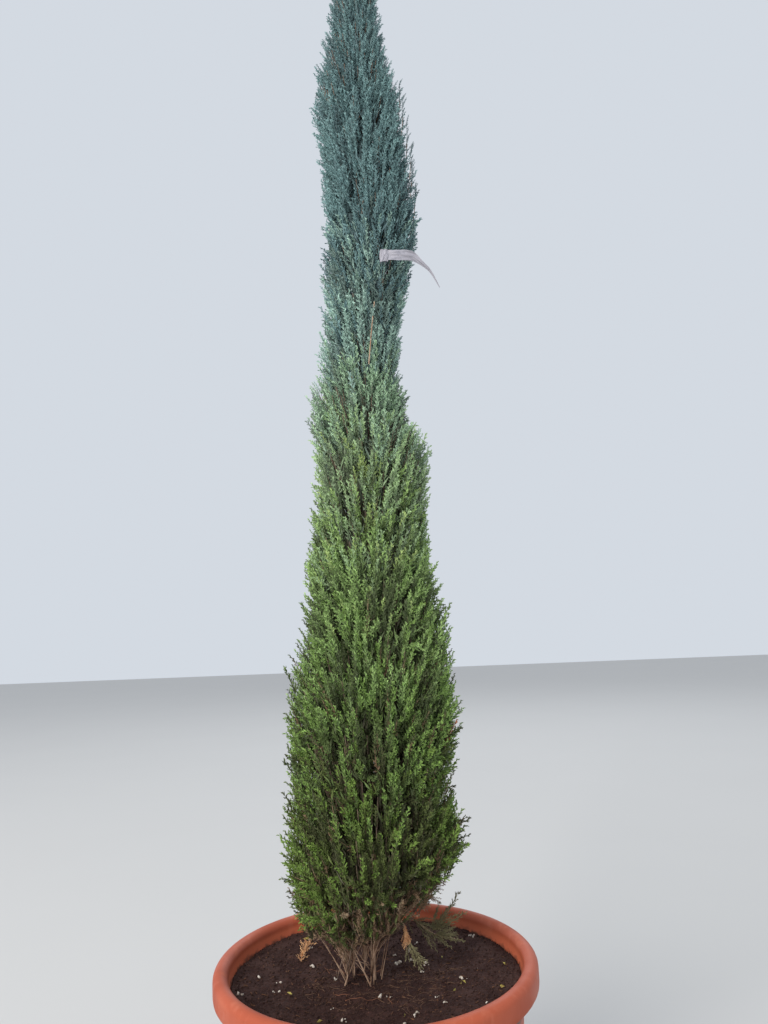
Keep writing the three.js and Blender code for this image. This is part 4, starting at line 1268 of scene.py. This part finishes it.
lowBranches = {
    "drooping_branch": {
        "name": "droopingBranch",
        "from": 428,
        "route": [(36, 4, 434), (68, 8, 416), (94, 12, 397), (126, 15, 388)],
        "green": (0.215, 0.192, 0.098),
        "twice": 3,
        "jitter": 9,
        "sprays": [  # foot and end
            ((52, 6, 424), (70, -8, 414)),
            ((60, 7, 421), (86, 2, 417)),
            ((64, 8, 418), (80, -2, 404)),
            ((70, 8, 414), (92, 20, 408)),
            ((80, 10, 407), (96, 2, 386)),
            ((88, 11, 401), (107, 6, 376)),
            ((94, 12, 397), (120, 10, 384)),
            ((98, 13, 396), (136, 16, 380)),
            ((100, 13, 396), (132, 22, 398)),
            ((98, 14, 398), (130, 16, 410)),
            ((96, 16, 400), (122, 24, 424)),
            ((92, 15, 402), (134, 22, 434)),
            ((90, 14, 402), (116, 20, 436)),
            ((86, 12, 404), (106, 24, 428)),
        ],
        "dry": (0.300, 0.200, 0.130),
        "dryTimes": 3,
        "drySprays": [
            ((84, -18, 476), (108, -12, 472)),
            ((80, -20, 466), (104, -22, 458)),
            ((90, -5, 478), (112, 2, 474)),
            ((86, -30, 482), (106, -40, 480)),
            ((76, 0, 462), (96, 4, 452)),
            ((92, -25, 492), (114, -22, 490)),
            ((70, -16, 458), (88, -20, 446)),
        ],
    },
    "hanging_dead_sprig": {
        "name": "hangingSprig",
        "from": 420,
        "route": [(24, -24, 430), (41, -31, 433), (47, -32, 420), (48, -32, 392)],
        "green": (0.285, 0.255, 0.132),
        "twice": 2,
        "jitter": 4,
        "sprays": [
            ((52, -31, 404), (60, -29, 374)),
            ((54, -31, 402), (76, -27, 363)),
            ((55, -30, 398), (70, -30, 362)),
            ((53, -31, 398), (58, -33, 364)),
            ((50, -31, 396), (48, -32, 372)),
        ],
        "dry": (0.970, 0.510, 0.260),
        "dryTimes": 6,
        "drySprays": [
            ((47, -31, 428), (47, -32, 405)),
            ((47, -31, 424), (51, -33, 402)),
            ((47, -31, 422), (46, -30, 400)),
            ((48, -31, 418), (48, -32, 396)),
        ],
    },
}
lowShape = (16, 12.5, 1.6, 2)  # of their sprays: nodes, branchlet, width and forks
fallenSprig = {
    "color": (0.950, 0.520, 0.270),
    # x, y and height over the compost
    "route": [(-124, 60, 3), (-123, 78, 6), (-120, 98, 8), (-114, 118, 6)],
    "sprays": 42,
    "length": (10, 16),
    "shape": (6, 17, 4.2, 1),  # a sparser one
}
sprigReach = 0.84  # the branchlets reach on past a spray's line


def sprayTo(foot, end, random):  # a spray's place, axes and scale, from where it starts and ends
    heading = unit(end - foot)
    lift = unit(np.cross(heading, random.normal(size=3)))
    axes = np.array([heading, np.cross(lift, heading), lift])
    return 0, "", "", foot, axes, sprigReach * np.linalg.norm(end - foot) / spray["length"]


def jittered(sprays, times, amount, random):  # each spray a few times, with its end moved about
    pairs = [(np.array(foot), np.array(end)) for foot, end in sprays for _ in range(times)]
    return [sprayTo(foot, end + random.normal(size=3) * amount, random) for foot, end in pairs]


def makeLowBranches():
    random = np.random.default_rng(seed + 9)
    shape = joined(sprayShape(random, *lowShape))
    for node, branch in lowBranches.items():
        name = branch["name"]
        path = smoothPath([trunkAt(branch["from"]), *branch["route"]], 6)
        addMesh(name + "Twig", limbs([path], (1.5, 0.7), 6), bark, "bark", node)
        leaves = spread(shape, jittered(branch["sprays"], branch["twice"], branch["jitter"], random))
        addMesh(name + "Leaves", leaves, scaleLeaf(name + "Leaf", branch["green"], 0.75), "foliage", node)
        leaves = spread(shape, jittered(branch["drySprays"], branch["dryTimes"], 2, random))
        addMesh(name + "Dry", leaves, scaleLeaf(name + "Dry", branch["dry"], 0.8), "dead_foliage", node)
    path = smoothPath([(x, y, soilHeight(x, y) + rise) for x, y, rise in fallenSprig["route"]], 5)
    items = []
    for i in range(fallenSprig["sprays"]):
        foot = path[int((i + 0.5) / fallenSprig["sprays"] * len(path))]
        side = directionOut(goldenAngle * i + random.uniform(-0.4, 0.4), random.uniform(0.2, 1.4))
        items.append(sprayTo(foot, foot + side * random.uniform(*fallenSprig["length"]), random))
    sparse = joined(sprayShape(random, *fallenSprig["shape"]))
    leaves = joined([limbs([path], (0.9, 0.5), 5), spread(sparse, items)])
    addMesh("fallenSprig", leaves, scaleLeaf("fallenSprigDry", fallenSprig["color"], 0.8), "dead_foliage")


makeLowBranches()
print("low branches made")


# label, which follows labelRoute

label = {
    "shoot": (57, -75, 1491),
    "loop": (7, 21, 0.4, 1.5, 14),  # radius, width, start and turn in half circles, steps
    "widths": [17, 19, 19, 15, 7.5, 4.5, 1.2],
    "twist": [0, 0.1, 0.15, 0.3, 0.7, 1.2, 1.3],  # how far the tail turns its face down
    "thickness": 0.6,
    "rows": 9,
    "crumple": (3.2, 0.5, 5),  # depth in the loop, and its changes along and across
    "crease": (3.4, 0.16, 9),  # and in the strip
    "ragged": 0.12,
}


def labelLine():  # points along the strip, with its width and twist at each
    x, y, z = label["shoot"]
    radius, width, start, turn, steps = label["loop"]
    rows = []
    for i in range(steps):
        angle = math.pi * (start + turn * i / steps)
        rows.append((x + radius * math.cos(angle), y + radius * math.sin(angle), z, width, 0))
    strip = zip(labelRoute, label["widths"], label["twist"])
    rows += [(*point, across, twist) for point, across, twist in strip]
    points = smoothPath([row[:3] for row in rows], 5)
    shares = np.linspace(0, len(rows) - 1, len(points))
    width, twist = (np.interp(shares, range(len(rows)), [row[k] for row in rows]) for k in (3, 4))
    return points, width, twist, shares / (steps - 1)


def makeLabel():
    line, widths, twists, looped = labelLine()
    last = len(line) - 1
    bpy.ops.mesh.primitive_grid_add(x_subdivisions=last, y_subdivisions=label["rows"], size=1)
    obj = settle(bpy.context.object, "plantLabel", labelPlastic())
    ahead = unit(np.gradient(line, axis=0))
    out = unit(np.cross([0.0, 0.0, 1.0], ahead))
    tall = np.cross(ahead, out)

    def bent(points):  # the flat grid is laid along the line, crumpled in the loop and creased in the strip
        for i, (along, across, _) in enumerate(points):
            k = int(round((along + 0.5) * last))
            face = out[k] * math.cos(twists[k]) + tall[k] * math.sin(twists[k])
            edge = tall[k] * math.cos(twists[k]) - out[k] * math.sin(twists[k])
            depth, stretch, folds = label["crumple" if looped[k] < 1 else "crease"]
            if looped[k] >= 1:
                depth *= min(1, widths[k] / 12)
            bulge = noise.noise(Vector((k * stretch, across * folds, 2.2)))
            ragged = 1 + label["ragged"] * noise.noise(Vector((k * 0.4, 3.1 * np.sign(across), 6.6)))
            points[i] = (line[k] + edge * across * widths[k] * ragged + face * bulge * depth) * mm
        return points

    movePoints(obj, bent)
    applyModifier(obj, "SOLIDIFY", thickness=label["thickness"] * mm, offset=0)
    applyModifier(obj, "SUBSURF", levels=1, render_levels=1)
    smoothShaded(obj)
    carry(obj, "label", "plant_label")


makeLabel()
print("label made")


# floor


def makeFloor():
    bpy.ops.mesh.primitive_plane_add(size=studio["floorSize"], location=(0, 0, 0))
    floor = settle(bpy.context.object, "paleFloorPlane", paleFloor())


makeFloor()
